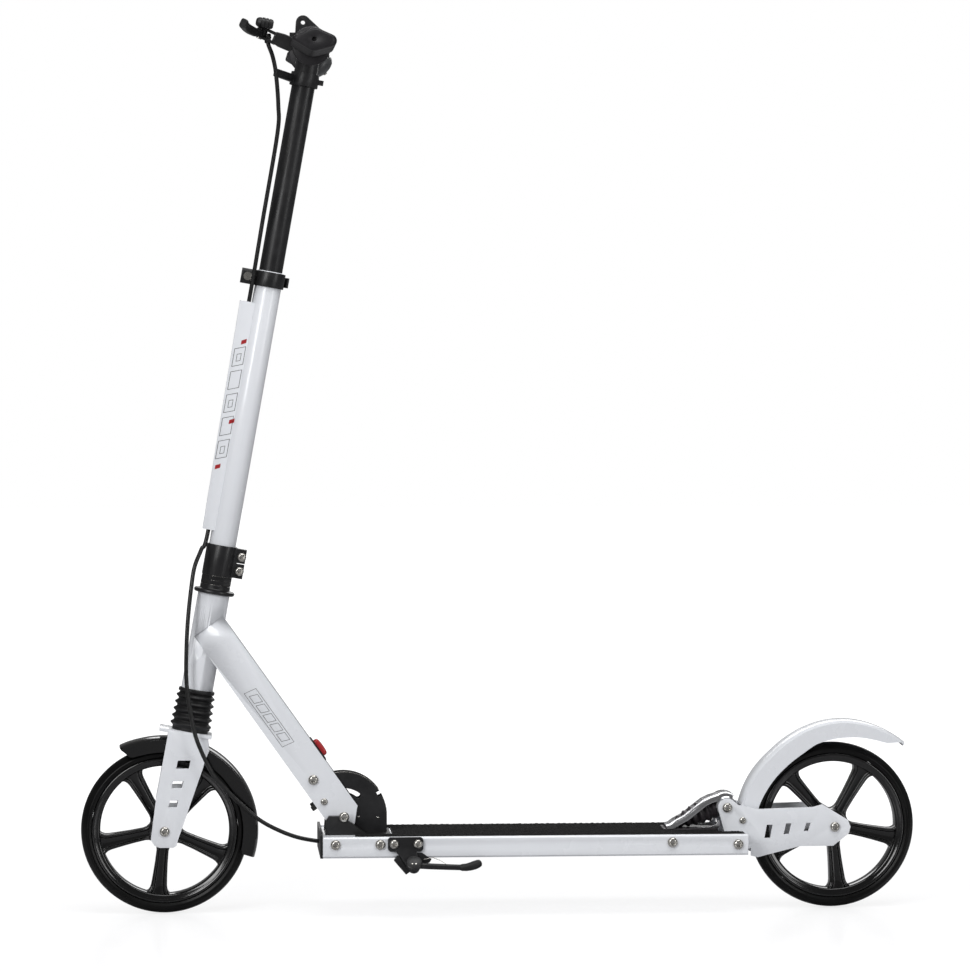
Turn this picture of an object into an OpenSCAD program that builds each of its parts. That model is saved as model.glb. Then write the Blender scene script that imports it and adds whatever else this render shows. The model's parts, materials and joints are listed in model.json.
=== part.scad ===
// Folding kick scooter, in millimetres. X runs to the rear, Y to the rider's right, Z up.
// The origin is on the ground, midway between the axles.

/* [Wheels] */
// Outer diameter of both wheels
wheel_d = 200; // [170:2:240]
// Width of the tyres
wheel_w = 30; // [24:1:34]
// Depth of the tyre from its tread to the rim
tyre_t = 12.5; // [10:0.5:14]
// Number of spokes in each wheel
spokes = 5; // [4:1:6]
// Diameter of the axles
axle_d = 8; // [6:1:10]

/* [Deck] */
// Length of the deck shell
deck_l = 508; // [420:2:610]
// Width of the deck
deck_w = 130; // [110:2:156]
// Height of the deck's side
deck_h = 25; // [22:1:30]
// Height of the deck's underside above the ground
ground_gap = 71; // [60:1:84]
// Thickness of the grip surface
grip_t = 1.5; // [1:0.5:2.5]

/* [Fold joint] */
// Radius of the quadrant plates about the fold pivot
quad_r = 52; // [48:1:56]
// Depth of the neck's box section
neck_depth = 41; // [37:1:44]
// Width of the neck
neck_w = 39; // [36:1:42]

/* [Steering] */
// Lean of the steering axis towards the rear, in degrees
head_tilt = 10.1; // [8:0.1:12]
// Length of the head tube
head_len = 116; // [104:1:140]
// Outer diameter of the head tube
head_d = 38; // [37:0.5:42]
// Outer diameter of the steerer tube
steerer_d = 30; // [28:0.5:31]

/* [Column] */
// Length of the white stem tube above the lower clamp
stem_len = 332; // [280:2:398]
// Outer diameter of the stem tube
stem_d = 32; // [31:0.5:34]
// Outer diameter of the sliding column tube
column_d = 28; // [26:0.5:29]
// Height of the bar above the height collar
column_out = 269; // [225:1:322]
// Full width of the handlebar over the grips
bar_w = 380; // [320:2:456]
// Diameter of the bar
bar_d = 22; // [19:0.5:24]
// Length of each grip
grip_len = 118; // [98:1:130]

/* [Cable] */
// Diameter of the brake cable's housing
cable_d = 5; // [4:0.5:6]

/* [Hidden] */
$fn = 48;
// clearances
run_gap = 0.05;
part_gap = 0.4;
// wheels and axles
wheel_r = wheel_d / 2;
front_gap = wheel_r + 87.5;
rear_gap = wheel_r + 9.5;
wheelbase = deck_l + front_gap + rear_gap;
front_x = -wheelbase / 2;
rear_x = wheelbase / 2;
axle_r = axle_d / 2;
hub_r = 20;
bearing_r = 11;
bearing_w = 7;
rim_out = wheel_r - tyre_t;
rim_in = rim_out - 10.5;
tyre_round = wheel_w / 2;
axle_head_r = 5.7;
bolt_head_t = 3.5;
// deck
deck_x0 = front_x + front_gap;
deck_x1 = rear_x - rear_gap;
deck_wall = 3;
deck_top = ground_gap + deck_h;
shell_top = deck_top - 1.2;
grip_top = shell_top + grip_t;
lip_w = 5;
web_y = 39;
grip_x0 = deck_x0 + 39;
plate_t = 3;
// fold pivot and neck
pivot_x = deck_x0 + 26.3;
pivot_z = deck_top + 20.6;
pivot_r = 4;
neck_wall = 3.5;
neck_in = neck_w / 2 - neck_wall;
neck_top = neck_depth / 2;
fork_open = quad_r + 5;
quad_t = 3.5;
quad_y = 10;
guide_r = 29;
guide_u = 27.5;
guide_v = -9.2;
base_t = 1.4;
cheek_y = neck_w / 2 + part_gap;
cheek_t = 12;
// pawl: its pivot bolt, its pin lifted clear of the plates, and its drop
pawl_u = quad_r + 4.4;
pawl_v = -4.5;
pawl_arm = 14.5;
pin_r = 2.6;
pin_a = 99.5;
notch_a = 9.5;
fold_angle = 85;
notch_w = 6.4;
notch_depth = 5;
tail_u = 10.6;
tail_v = 9.5;
button_u = 82;
button_len = 19;
button_w = 11.4;
button_out = 7;
// steering axis: distances along it are counted from axle height
axis_back = 9;
crown_s = wheel_r + 20;
crown_t = 4;
bellows_h = 50.5;
head_s0 = crown_s + bellows_h + 0.5;
head_s1 = head_s0 + head_len;
cup_h = 11;
steerer_r = steerer_d / 2;
steerer_in = steerer_r - 2;
steerer_s0 = crown_s + 20;
head_bore = head_d / 2 - 2;
nut_h = 5;
nuts_s = head_s1 + cup_h + 0.3;
clamp_s0 = nuts_s + 2 * nut_h + 0.7;
clamp_h = 37;
clamp_mid = clamp_s0 + 10;
clamp_r = stem_d / 2 + 2.5;
clamp_s1 = clamp_s0 + clamp_h;
stem_s0 = clamp_mid + 0.5;
stem_s1 = clamp_s1 + stem_len;
column_r = column_d / 2;
stem_in = column_r + run_gap;
collar_h = 18;
collar_s0 = stem_s1 - collar_h - 1;
column_s0 = stem_s1 - 153;
bar_s = stem_s1 + column_out - 1;
bar_r = bar_d / 2;
lug_y = 6.5;
lug_x = 34;
lever_x = -26;
lever_y = 14;
guard_s0 = clamp_s1 + 16;
guard_s1 = collar_s0 - 21;
// fork slider
guide_tube_r = 9.5;
leg_in = wheel_w / 2 + 7;
leg_t = 3.5;
fender_r = wheel_r + 12;
fender_half = leg_in - 1;
// handlebar fittings
grip_y0 = bar_w / 2 - grip_len;
perch_y = 62;
perch_tilt = 25;
knuckle_out = 60;
// rear end
arm_pivot_x = deck_x1 - 12;
arm_pivot_z = deck_top - 12;
arm_in = wheel_w / 2 + 12;
arm_t = 4;
ear_x = deck_x1 - 21;
ear_z = deck_top + 28;
small_x = deck_x1 - 2.4;
small_z = deck_top + 12.5;
slot_y = arm_in + arm_t + 6;
rear_fender_in = wheel_w / 2 + 5;
shock_y = 20;
// kickstand
stand_x = deck_x0 + 107.5;
stand_y = -deck_w / 2 - 9;
stand_z = ground_gap - 8.6;
stand_lean = 40;
// the bar's centre in the X-Z plane
bar_x = front_x + axis_back + bar_s * sin(head_tilt);
bar_z = wheel_r + bar_s * cos(head_tilt);
// the neck's centre line runs from the fold pivot to this point on the steering axis
neck_s = crown_s + 128;
neck_end_x = front_x + axis_back + neck_s * sin(head_tilt);
neck_end_z = wheel_r + neck_s * cos(head_tilt);
neck_angle = atan2(neck_end_z - pivot_z, neck_end_x - pivot_x);
neck_l = norm([neck_end_x - pivot_x, neck_end_z - pivot_z]);
// brake cable routes
UPPER_ROUTE = [
    [-279, -62, 1044], [-278, -63, 1034], [-273, -62, 1020], [-269, -58, 1000],
    [-266, -46, 963], [-267, -38, 930], [-284, -25, 830], [-294, -18, 770], [-301, -5, 729.8]];
LOWER_ROUTE = [
    [-301, -5, 729], [-326, -5, 593], [-350, -5, 457], [-358, -11, 436], [-366, -18, 416],
    [-370, -24, 392], [-374, -29, 355], [-376, -32, 318], [-376, -34, 279], [-371, -37, 241],
    [-363, -40, 208], [-345, -42, 170], [-328, -42, 150], [-310, -40, 132], [-289, -36, 114],
    [-266, -32, 101], [-243, -28, 92], [-218.8, -25, 87]];
DECK_ROUTE = [[-218, -25, 87], [-195, -24, 85], [-100, -18, 80], [60, -12, 79], [190, -8, 79], [266, -4, 82]];

// A side outline in the X-Z plane, given thickness from y0 to y1
module slab(y0, y1) {
    translate([0, y1, 0])
        rotate([90, 0, 0])
            linear_extrude(y1 - y0)
                children();
}

// The same outline at both sides of the middle
module both_sides(y0, y1) {
    slab(y0, y1)
        children();
    slab(-y1, -y0)
        children();
}

// A round bar across the scooter
module rod_y(x, z, y0, y1, r) {
    translate([x, y0, z])
        rotate([-90, 0, 0])
            cylinder(h = y1 - y0, r = r);
}

// A cross section in the Y-Z plane, run along X
module along_x(x0, x1) {
    translate([x0, 0, 0])
        rotate([90, 0, 90])
            linear_extrude(x1 - x0)
                children();
}

// Places its children on the steering axis, with Z along it
module on_axis(s) {
    translate([front_x + axis_back, 0, wheel_r])
        rotate([0, head_tilt, 0])
            translate([0, 0, s])
                children();
}

// Places a side outline in the neck's own directions: u along it from the pivot, v to its upper face
module in_neck() {
    translate([pivot_x, pivot_z])
        rotate(neck_angle)
            mirror([0, 1])
                children();
}

module tube(r, bore, h) {
    difference() {
        cylinder(h = h, r = r);
        translate([0, 0, -1])
            cylinder(h = h + 2, r = bore);
    }
}

// A rounded side outline
module rounded(size, r) {
    offset(r = r)
        square([size[0] - 2 * r, size[1] - 2 * r], center = true);
}

function polar(r, a) = [r * cos(a), r * sin(a)];

// A curved slot about the origin, with round ends
module arc_slot(r, half, a0, a1) {
    intersection() {
        difference() {
            circle(r + half);
            circle(r - half);
        }
        polygon(concat([[0, 0]], [for (i = [0:6]) polar(2 * r, a0 + (a1 - a0) * i / 6)]));
    }
    for (a = [a0, a1])
        translate(polar(r, a))
            circle(half - 0.04, $fn = 32);
}

// --- brake cable: a smooth curve through its route, swept by a ring of points ---
function spline(a, b, c, d, t) =
    0.5 * (2 * b + (c - a) * t + (2 * a - 5 * b + 4 * c - d) * t * t + (3 * b - 3 * c + d - a) * t * t * t);
function pick(route, i) = route[max(0, min(len(route) - 1, i))];
function smooth(route, n) = concat(
    [for (i = [0:len(route) - 2]) for (k = [0:n - 1])
        spline(pick(route, i - 1), pick(route, i), pick(route, i + 1), pick(route, i + 2), k / n)],
    [route[len(route) - 1]]);
function unit(v) = v / norm(v);
function heading(path, i) = unit(pick(path, i + 1) - pick(path, i - 1));
function ring_at(path, i, r, sides) =
    let (t = heading(path, i), a = unit(cross(t, [0, 1, 0])), b = cross(a, t))
    [for (k = [0:sides - 1]) path[i] + r * (a * cos(360 * k / sides) + b * sin(360 * k / sides))];

module sweep(path, r, sides = 8) {
    n = len(path);
    points = [for (i = [0:n - 1]) each ring_at(path, i, r, sides)];
    walls = [for (i = [0:n - 2]) for (k = [0:sides - 1])
        [i * sides + k, i * sides + (k + 1) % sides, (i + 1) * sides + (k + 1) % sides, (i + 1) * sides + k]];
    start = [[for (k = [sides - 1:-1:0]) k]];
    end = [[for (k = [0:sides - 1]) (n - 1) * sides + k]];
    polyhedron(points, concat(walls, start, end));
}

// --- deck ---
module deck_outline() {
    half = deck_w / 2;
    polygon([
        [-half, ground_gap + 2], [-half + 2, ground_gap], [half - 2, ground_gap], [half, ground_gap + 2],
        [half, deck_top - 2], [half - 2, deck_top], [half - lip_w, deck_top], [half - lip_w, shell_top],
        [lip_w - half, shell_top], [lip_w - half, deck_top], [2 - half, deck_top], [-half, deck_top - 2]]);
}

module deck_cells() {
    z0 = ground_gap + deck_wall;
    h = shell_top - deck_wall - z0;
    side_w = deck_w / 2 - deck_wall - web_y;
    translate([-web_y + 1, z0])
        square([2 * web_y - 2, h]);
    for (side = [-1, 1])
        translate([side * (web_y + 1 + side_w / 2 - 0.5), z0 + h / 2])
            square([side_w - 1, h], center = true);
}

module deck_shell() {
    color("white")
        difference() {
            along_x(deck_x0, deck_x1)
                difference() {
                    deck_outline();
                    deck_cells();
                }
            translate([deck_x1 - 31, -slot_y, ground_gap + deck_wall])
                cube([40, 2 * slot_y, deck_h]);
            rod_y(arm_pivot_x, arm_pivot_z, -deck_w, deck_w, pivot_r + run_gap);
            side_bolt_places()
                cylinder(h = 20, r = 3 + run_gap, center = true);
            stand_bolt_places()
                cylinder(h = 20, r = 3 + run_gap, center = true);
        }
}

// Puts its children, a bolt along Z, in each of the holes in the deck's sides
module side_bolt_places() {
    for (side = [-1, 1])
        for (x = [deck_x0 + 15, deck_x0 + 68, deck_x1 - 91])
            translate([x, side * deck_w / 2, ground_gap + 16])
                rotate([side * -90, 0, 0])
                    children();
}

// The same for the two bolts that hold the kickstand's bracket
module stand_bolt_places() {
    for (x = [-23, 5.1])
        translate([stand_x + x, -deck_w / 2, ground_gap + 17])
            rotate([90, 0, 0])
                children();
}

module bolt(r, head_r, depth, lift = 0) {
    translate([0, 0, -depth])
        cylinder(h = depth + lift + 0.01, r = r);
    translate([0, 0, lift])
        cylinder(h = bolt_head_t, r = head_r);
}

module deck_bolts() {
    color("silver") {
        side_bolt_places()
            bolt(3, 6, 8);
        stand_bolt_places()
            bolt(3, 5.5, 8, 4);
        rod_y(arm_pivot_x, arm_pivot_z, -deck_w / 2 - 0.01, deck_w / 2 + 0.01, pivot_r);
        for (side = [-1, 1])
            translate([arm_pivot_x, side * deck_w / 2, arm_pivot_z])
                rotate([side * -90, 0, 0])
                    cylinder(h = bolt_head_t, r = 6);
    }
}

module deck_grip() {
    half = deck_w / 2 - lip_w;
    clevis = deck_x0 + 84;
    color("dimgray")
        translate([0, 0, shell_top])
            linear_extrude(grip_t)
                difference() {
                    translate([grip_x0, -half])
                        square([deck_x1 - 3 - grip_x0, 2 * half]);
                    translate([grip_x0 - 1, -cheek_y - cheek_t - 1])
                        square([clevis - grip_x0 + 1, 2 * (cheek_y + cheek_t + 1)]);
                    translate([deck_x1 - 31, -slot_y])
                        square([40, 2 * slot_y]);
                }
}

module deck_front_plate() {
    color("black")
        difference() {
            along_x(deck_x0 - plate_t, deck_x0)
                translate([0, ground_gap + deck_h / 2 + 2])
                    rounded([deck_w, deck_h + 5], 3);
            translate([deck_x0 - plate_t / 2, -25, 87])
                rotate([0, 90, 0])
                    cylinder(h = 10, r = cable_d / 2 + 0.3, center = true);
        }
}

// --- fold joint ---
module clevis_side() {
    polygon([
        [deck_x0 + 4, shell_top], [deck_x0 + 5, pivot_z - 5], [deck_x0 + 8, pivot_z + 0.5],
        [pivot_x - 5, pivot_z + 0.5], [pivot_x + 10, pivot_z - 8], [pivot_x + 24, shell_top + 3],
        [pivot_x + 28, shell_top]]);
}

module fold_clevis() {
    color("black")
        difference() {
            union() {
                both_sides(cheek_y, cheek_y + cheek_t)
                    clevis_side();
                translate([deck_x0 + 4, -cheek_y - cheek_t, shell_top])
                    cube([78, 2 * (cheek_y + cheek_t), base_t]);
            }
            rod_y(pivot_x, pivot_z, -deck_w, deck_w, pivot_r + run_gap);
        }
}

module quadrant() {
    difference() {
        union() {
            intersection() {
                circle(quad_r);
                rotate(neck_angle)
                    mirror([0, 1])
                        translate([-2 * quad_r, -17])
                            square([4 * quad_r, 4 * quad_r]);
            }
            translate([0, -2 * quad_r])
                square([quad_r, 2 * quad_r]);
        }
        translate([-2 * quad_r, shell_top + base_t - pivot_z - 4 * quad_r])
            square([4 * quad_r, 4 * quad_r]);
        circle(pivot_r + run_gap);
        rotate(neck_angle)
            arc_slot(guide_r, 3.5, -fold_angle + 13, 24);
        for (a = [neck_angle - notch_a, neck_angle - notch_a - fold_angle])
            rotate(a)
                translate([quad_r - notch_depth, -notch_w / 2])
                    square([2 * notch_depth, notch_w]);
    }
}

module fold_plates() {
    color("black")
        translate([pivot_x, 0, pivot_z])
            both_sides(quad_y, quad_y + quad_t)
                quadrant();
}

module fold_bolt() {
    out = cheek_y + cheek_t;
    color("silver") {
        rod_y(pivot_x, pivot_z, -out - 0.01, out + 0.01, pivot_r);
        rod_y(pivot_x, pivot_z, out, out + bolt_head_t, 6);
        rod_y(pivot_x, pivot_z, -out - bolt_head_t, -out, 6);
    }
}

// The neck's side outline: open to the quadrant plates below, a box above
module neck_outline() {
    top = neck_top;
    polygon([
        [neck_l, top], [0, top], [-1.5, top - 2], [-14.5, 6], [-19, -2], [-16, -11], [-6, -19],
        [9.5, -top], [neck_l, -top]]);
}

module neck() {
    inner = neck_top - neck_wall;
    color("white")
        difference() {
            union() {
                slab(-neck_w / 2, neck_w / 2)
                    in_neck()
                        neck_outline();
                on_axis(head_s0)
                    cylinder(h = head_len, r = head_d / 2);
            }
            slab(-neck_in, neck_in)
                in_neck() {
                    translate([-40, -40])
                        square([fork_open + 40, 80]);
                    translate([0, -inner])
                        square([neck_l - head_d / 2 - 8, 2 * inner]);
                }
            slab(-button_w / 2 - 0.4, button_w / 2 + 0.4)
                in_neck()
                    translate([button_u - button_len / 2 - 0.5, 0])
                        square([button_len + 1, 40]);
            on_axis(head_s0 - 20)
                cylinder(h = head_len + 60, r = head_bore);
            neck_bolt_places()
                cylinder(h = 80, r = 3 + run_gap, center = true);
            rod_y(pivot_x, pivot_z, -deck_w, deck_w, pivot_r + run_gap);
        }
}

// Puts its children on the axes of the pawl's bolt and the guide bolt
module neck_bolt_places() {
    for (uv = [[pawl_u, pawl_v], [guide_u, guide_v]])
        translate([
            pivot_x + uv[0] * cos(neck_angle) + uv[1] * sin(neck_angle), 0,
            pivot_z + uv[0] * sin(neck_angle) - uv[1] * cos(neck_angle)])
            rotate([-90, 0, 0])
                children();
}

module neck_bolts() {
    color("silver")
        neck_bolt_places() {
            cylinder(h = neck_w + 0.02, r = 3, center = true);
            for (side = [0, 1])
                mirror([0, 0, side])
                    translate([0, 0, neck_w / 2])
                        cylinder(h = 3, r = 5.2);
        }
}

module neck_bumper() {
    color("black")
        both_sides(quad_y + quad_t + 0.9, neck_w / 2)
            in_neck()
                translate([guide_u - 2, -neck_top - 6])
                    square([6, 6]);
}

module headset_cups() {
    color("black") {
        on_axis(head_s1)
            rotate_extrude()
                polygon([
                    [steerer_r + run_gap, -8], [head_bore, -8], [head_bore, 0], [head_d / 2 + 6, 0],
                    [head_d / 2 + 6, 3], [head_d / 2, cup_h], [steerer_r + run_gap, cup_h]]);
        on_axis(head_s0)
            rotate_extrude()
                polygon([
                    [steerer_r + run_gap, 8], [head_bore, 8], [head_bore, 0], [head_d / 2 - 0.5, 0],
                    [head_d / 2 - 0.5, -4], [steerer_r + run_gap, -4]]);
    }
}

module latch_base() {
    color("black")
        difference() {
            slab(-9, 9)
                in_neck()
                    translate([button_u - 16, neck_top])
                        square([32, 1.5]);
            slab(-button_w / 2 - 0.4, button_w / 2 + 0.4)
                in_neck()
                    translate([button_u - button_len / 2 - 0.5, 0])
                        square([button_len + 1, 40]);
        }
}

module latch_button() {
    top = neck_top + button_out;
    u0 = button_u - button_len / 2;
    color("firebrick")
        slab(-button_w / 2, button_w / 2)
            in_neck()
                polygon([
                    [u0, 9], [u0, top - 2], [u0 + 3, top], [u0 + button_len - 4, top],
                    [u0 + button_len, top - 3], [u0 + button_len, 9], [u0 + button_len + 3, 9],
                    [u0 + button_len + 3, 7.5], [pawl_u + tail_u - 2, 7.5], [pawl_u + tail_u - 2, 9]]);
}

module lock_pawl() {
    color("gray")
        difference() {
            union() {
                slab(-8, 8)
                    in_neck() {
                        hull() {
                            translate([pawl_u, pawl_v])
                                circle(6, $fn = 32);
                            translate([pawl_u, pawl_v] + polar(pawl_arm, pin_a))
                                circle(pin_r + 1.2, $fn = 32);
                        }
                        hull() {
                            translate([pawl_u, pawl_v])
                                circle(5, $fn = 32);
                            translate([pawl_u + tail_u, pawl_v + tail_v - 1])
                                circle(2.4, $fn = 32);
                        }
                    }
                slab(-neck_in + 1, neck_in - 1)
                    in_neck()
                        translate([pawl_u, pawl_v] + polar(pawl_arm, pin_a))
                            circle(pin_r);
            }
            slab(-10, 10)
                in_neck()
                    translate([pawl_u, pawl_v])
                        circle(3 + run_gap);
        }
}

// --- steering ---
module steerer_tube() {
    color("silver")
        on_axis(0)
            rotate_extrude()
                polygon([
                    [guide_tube_r + run_gap, steerer_s0], [steerer_r, steerer_s0], [steerer_r, clamp_mid],
                    [0, clamp_mid], [0, clamp_mid - 6], [steerer_in, clamp_mid - 6],
                    [steerer_in, steerer_s0 + 22], [guide_tube_r + run_gap, steerer_s0 + 22]]);
}

module headset_nuts() {
    color("black")
        for (i = [0, 1])
            on_axis(nuts_s + i * (nut_h + 0.2))
                difference() {
                    cylinder(h = nut_h, r = head_d / 2 - 1, $fn = 6);
                    translate([0, 0, -1])
                        cylinder(h = nut_h + 2, r = steerer_r);
                }
}

module lower_clamp() {
    color("black")
        on_axis(clamp_s0)
            difference() {
                union() {
                    cylinder(h = clamp_h, r = clamp_r);
                    translate([0, -9, 1])
                        cube([30, 18, clamp_h - 2]);
                }
                translate([0, 0, -1])
                    cylinder(h = clamp_mid - clamp_s0 + 1.5, r = steerer_r);
                translate([0, 0, clamp_mid - clamp_s0 + 0.5])
                    cylinder(h = clamp_h, r = stem_d / 2);
                translate([10, -1, -1])
                    cube([30, 2, clamp_h + 2]);
                translate([clamp_r + 2, -20, clamp_h / 2 - 0.8])
                    cube([30, 40, 1.6]);
                for (s = [10, clamp_h - 10])
                    translate([25, 0, s])
                        rotate([90, 0, 0])
                            cylinder(h = 40, r = 2.5 + run_gap, center = true);
            }
}

module stem_tube() {
    color("white")
        on_axis(stem_s0)
            tube(stem_d / 2, stem_in, stem_s1 - stem_s0);
}

module cable_guard() {
    top = guard_s1 - guard_s0;
    deep = stem_d / 2;
    color("white")
        on_axis(guard_s0)
            difference() {
                slab(-11, 11)
                    polygon([[-deep + 4, 0], [-deep - 11, 0], [-deep - 14, top], [-deep + 4, top]]);
                slab(-8.5, 8.5)
                    translate([0, -1])
                        polygon([[-deep + 5, 0], [-deep - 8.5, 0], [-deep - 11.5, top + 2], [-deep + 5, top + 2]]);
                translate([0, 0, -1])
                    cylinder(h = top + 2, r = deep);
            }
}

module height_collar() {
    color("black")
        on_axis(collar_s0)
            difference() {
                union() {
                    cylinder(h = collar_h, r = clamp_r);
                    translate([-lug_x, -lug_y, 0])
                        cube([lug_x, 2 * lug_y, collar_h]);
                }
                translate([0, 0, -1])
                    cylinder(h = collar_h + 2, r = stem_d / 2);
                translate([-lug_x - 1, -1, -1])
                    cube([lug_x, 2, collar_h + 2]);
                translate([lever_x, 0, collar_h / 2])
                    rotate([90, 0, 0])
                        cylinder(h = 40, r = 2.5 + run_gap, center = true);
            }
}

module stem_bolts() {
    color("silver") {
        for (s = [10, clamp_h - 10])
            on_axis(clamp_s0 + s)
                translate([25, 0, 0])
                    rotate([90, 0, 0]) {
                        cylinder(h = 18.02, r = 2.5, center = true);
                        for (side = [0, 1])
                            mirror([0, 0, side])
                                translate([0, 0, 9])
                                    cylinder(h = 3.5, r = 5);
                    }
        on_axis(collar_s0 + collar_h / 2)
            translate([lever_x, 0, 0]) {
                rotate([90, 0, 0])
                    translate([0, 0, -lever_y])
                        cylinder(h = lever_y + lug_y + 0.01, r = 2.5);
                translate([0, -lug_y, 0])
                    rotate([90, 0, 0])
                        cylinder(h = 4, r = 5);
                translate([0, lever_y, 0])
                    cylinder(h = 10, r = 3.2, center = true);
            }
    }
}

module quick_lever() {
    color("black")
        on_axis(collar_s0 + 3)
            difference() {
                union() {
                    translate([lever_x, lever_y, 0])
                        cylinder(h = 12, r = 7);
                    linear_extrude(12)
                        difference() {
                            arc_slot(24, 2.2, 25, 142);
                            circle(clamp_r + 1);
                        }
                    translate([lever_x + 3, lever_y - 2, 0])
                        cube([8, 5, 12]);
                }
                translate([lever_x, lever_y, -1])
                    cylinder(h = 14, r = 3.2 + run_gap);
                translate([lever_x - 12, lever_y - 15, 3])
                    cube([15, 19.3, 6]);
            }
}

// --- column and handlebar ---
module column_tube() {
    color("black")
        difference() {
            on_axis(column_s0)
                tube(column_r, column_r - 2, bar_s - column_s0);
            rod_y(bar_x, bar_z, -60, 60, bar_r);
        }
}

module handlebar() {
    half = bar_w / 2 - 4;
    color("black")
        difference() {
            rod_y(bar_x, bar_z, -half, half, bar_r);
            for (side = [-1, 1])
                rod_y(bar_x, bar_z, side * (half - 10) - 11, side * (half - 10) + 11, bar_r - 2);
        }
}

module grip_outline() {
    hull() {
        translate([2, 0])
            circle(16, $fn = 64);
        translate([-21, 0])
            circle(4, $fn = 32);
        translate([20, 0])
            circle(6, $fn = 32);
    }
}

module grips() {
    color("black")
        translate([bar_x, 0, bar_z])
            difference() {
                union() {
                    both_sides(grip_y0 + 5, bar_w / 2)
                        grip_outline();
                    both_sides(grip_y0, grip_y0 + 5)
                        circle(23);
                }
                for (side = [-1, 1])
                    rod_y(0, 0, side * (bar_w / 2 - 70) - 66, side * (bar_w / 2 - 70) + 66, bar_r);
                rod_y(0, 0, -bar_w, bar_w, 2.5);
            }
}

module strap_eye() {
    color("black")
        translate([bar_x, 0, bar_z])
            difference() {
                slab(-3.5, 3.5) {
                    hull() {
                        translate([-8, 33])
                            circle(8.5, $fn = 48);
                        translate([16, 10])
                            circle(9, $fn = 32);
                        translate([-12, 12])
                            circle(6, $fn = 32);
                    }
                    translate([-24, 14])
                        square([10, 7]);
                }
                rod_y(0, 0, -10, 10, bar_r);
                rod_y(-8, 33, -10, 10, 2.5);
            }
}

module cable_clip() {
    color("black")
        on_axis(bar_s - 44)
            difference() {
                union() {
                    cylinder(h = 16, r = column_r + 3);
                    hull() {
                        translate([-column_r - 4, -8, 3])
                            cube([6, 8, 9]);
                        translate([-column_r - 24, -55.2, 3])
                            cube([4, 6, 9]);
                    }
                    translate([column_r, -3, 5])
                        cube([9, 6, 6]);
                }
                translate([0, 0, -1])
                    cylinder(h = 18, r = column_r);
            }
}

// Places its children at the bar's centre, with X forward and up along the lever's arm
module on_perch() {
    translate([bar_x, -perch_y, bar_z])
        rotate([0, 180 + perch_tilt, 0])
            children();
}

module lever_perch() {
    color("black")
        difference() {
            union() {
                rod_y(bar_x, bar_z, -perch_y - 7, -perch_y + 7, bar_r + 3.5);
                on_perch()
                    difference() {
                        translate([bar_r, -7, -8])
                            cube([knuckle_out - bar_r + 6, 14, 16]);
                        translate([knuckle_out - 12, -8, -4.2])
                            cube([30, 16, 8.4]);
                    }
            }
            rod_y(bar_x, bar_z, -perch_y - 20, -perch_y + 20, bar_r);
            on_perch()
                translate([knuckle_out, 0, 0])
                    cylinder(h = 40, r = 2.5 + run_gap, center = true);
        }
}

module lever_pin() {
    color("silver")
        on_perch()
            translate([knuckle_out, 0, 0])
                cylinder(h = 17, r = 2.5, center = true);
}

module brake_lever() {
    color("black")
        on_perch()
            difference() {
                union() {
                    translate([knuckle_out, 0, -3.8])
                        cylinder(h = 7.6, r = 5.5);
                    hull() {
                        translate([knuckle_out - 1, -12, -3.8])
                            cube([8, 10, 7.6]);
                        translate([knuckle_out + 18, -32, -5])
                            cylinder(h = 10, r = 4.5, $fn = 32);
                    }
                    hull() {
                        translate([knuckle_out + 18, -32, -5])
                            cylinder(h = 10, r = 4.5, $fn = 32);
                        translate([knuckle_out + 24, -grip_len - 2, -5])
                            cylinder(h = 10, r = 4.5, $fn = 32);
                    }
                }
                translate([knuckle_out, 0, -10])
                    cylinder(h = 20, r = 2.5 + run_gap);
            }
}

// Places its children below and behind the bar on the far side, Z along the bell's axis
module on_bell() {
    translate([bar_x, 46, bar_z])
        rotate([0, 141, 0])
            children();
}

module bell_base() {
    color("black")
        difference() {
            union() {
                rod_y(bar_x, bar_z, 40, 52, bar_r + 3);
                on_bell()
                    translate([0, 0, bar_r + 1])
                        cylinder(h = 6, r = 8);
                on_bell()
                    translate([0, 0, bar_r + 6]) {
                        cylinder(h = 3, r = 15);
                        cylinder(h = 13, r = 3);
                    }
            }
            rod_y(bar_x, bar_z, 30, 60, bar_r);
        }
}

module bell_dome() {
    color("gray")
        on_bell()
            translate([0, 0, bar_r + 9])
                difference() {
                    intersection() {
                        translate([0, 0, -9])
                            sphere(23);
                        cylinder(h = 30, r = 30);
                    }
                    intersection() {
                        translate([0, 0, -9])
                            sphere(21.5);
                        translate([0, 0, -1])
                            cylinder(h = 11, r = 30);
                    }
                }
}

module bell_hammer() {
    color("black")
        on_bell()
            translate([0, 0, bar_r + 3.4])
                difference() {
                    union() {
                        cylinder(h = 2.2, r = 12);
                        translate([6, -4, 0])
                            cube([20, 8, 2.2]);
                    }
                    translate([0, 0, -1])
                        cylinder(h = 5, r = 8 + run_gap);
                }
}

// --- fork and front wheel ---
module leg_outline() {
    polygon([
        [5, wheel_r + 20.5], [-10, 40], [-16.5, -10], [-12, -17], [-6, -19.5], [10, -19.5], [14, -17],
        [16, -10], [46, wheel_r - 24], [48, wheel_r - 16], [31, wheel_r + 16]]);
}

module leg_slot(x, z, w, h) {
    translate([x, z])
        polygon([[-w / 2, -h / 2], [w / 2 - 2, -h / 2], [w / 2, h / 2], [2 - w / 2, h / 2]]);
}

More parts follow.
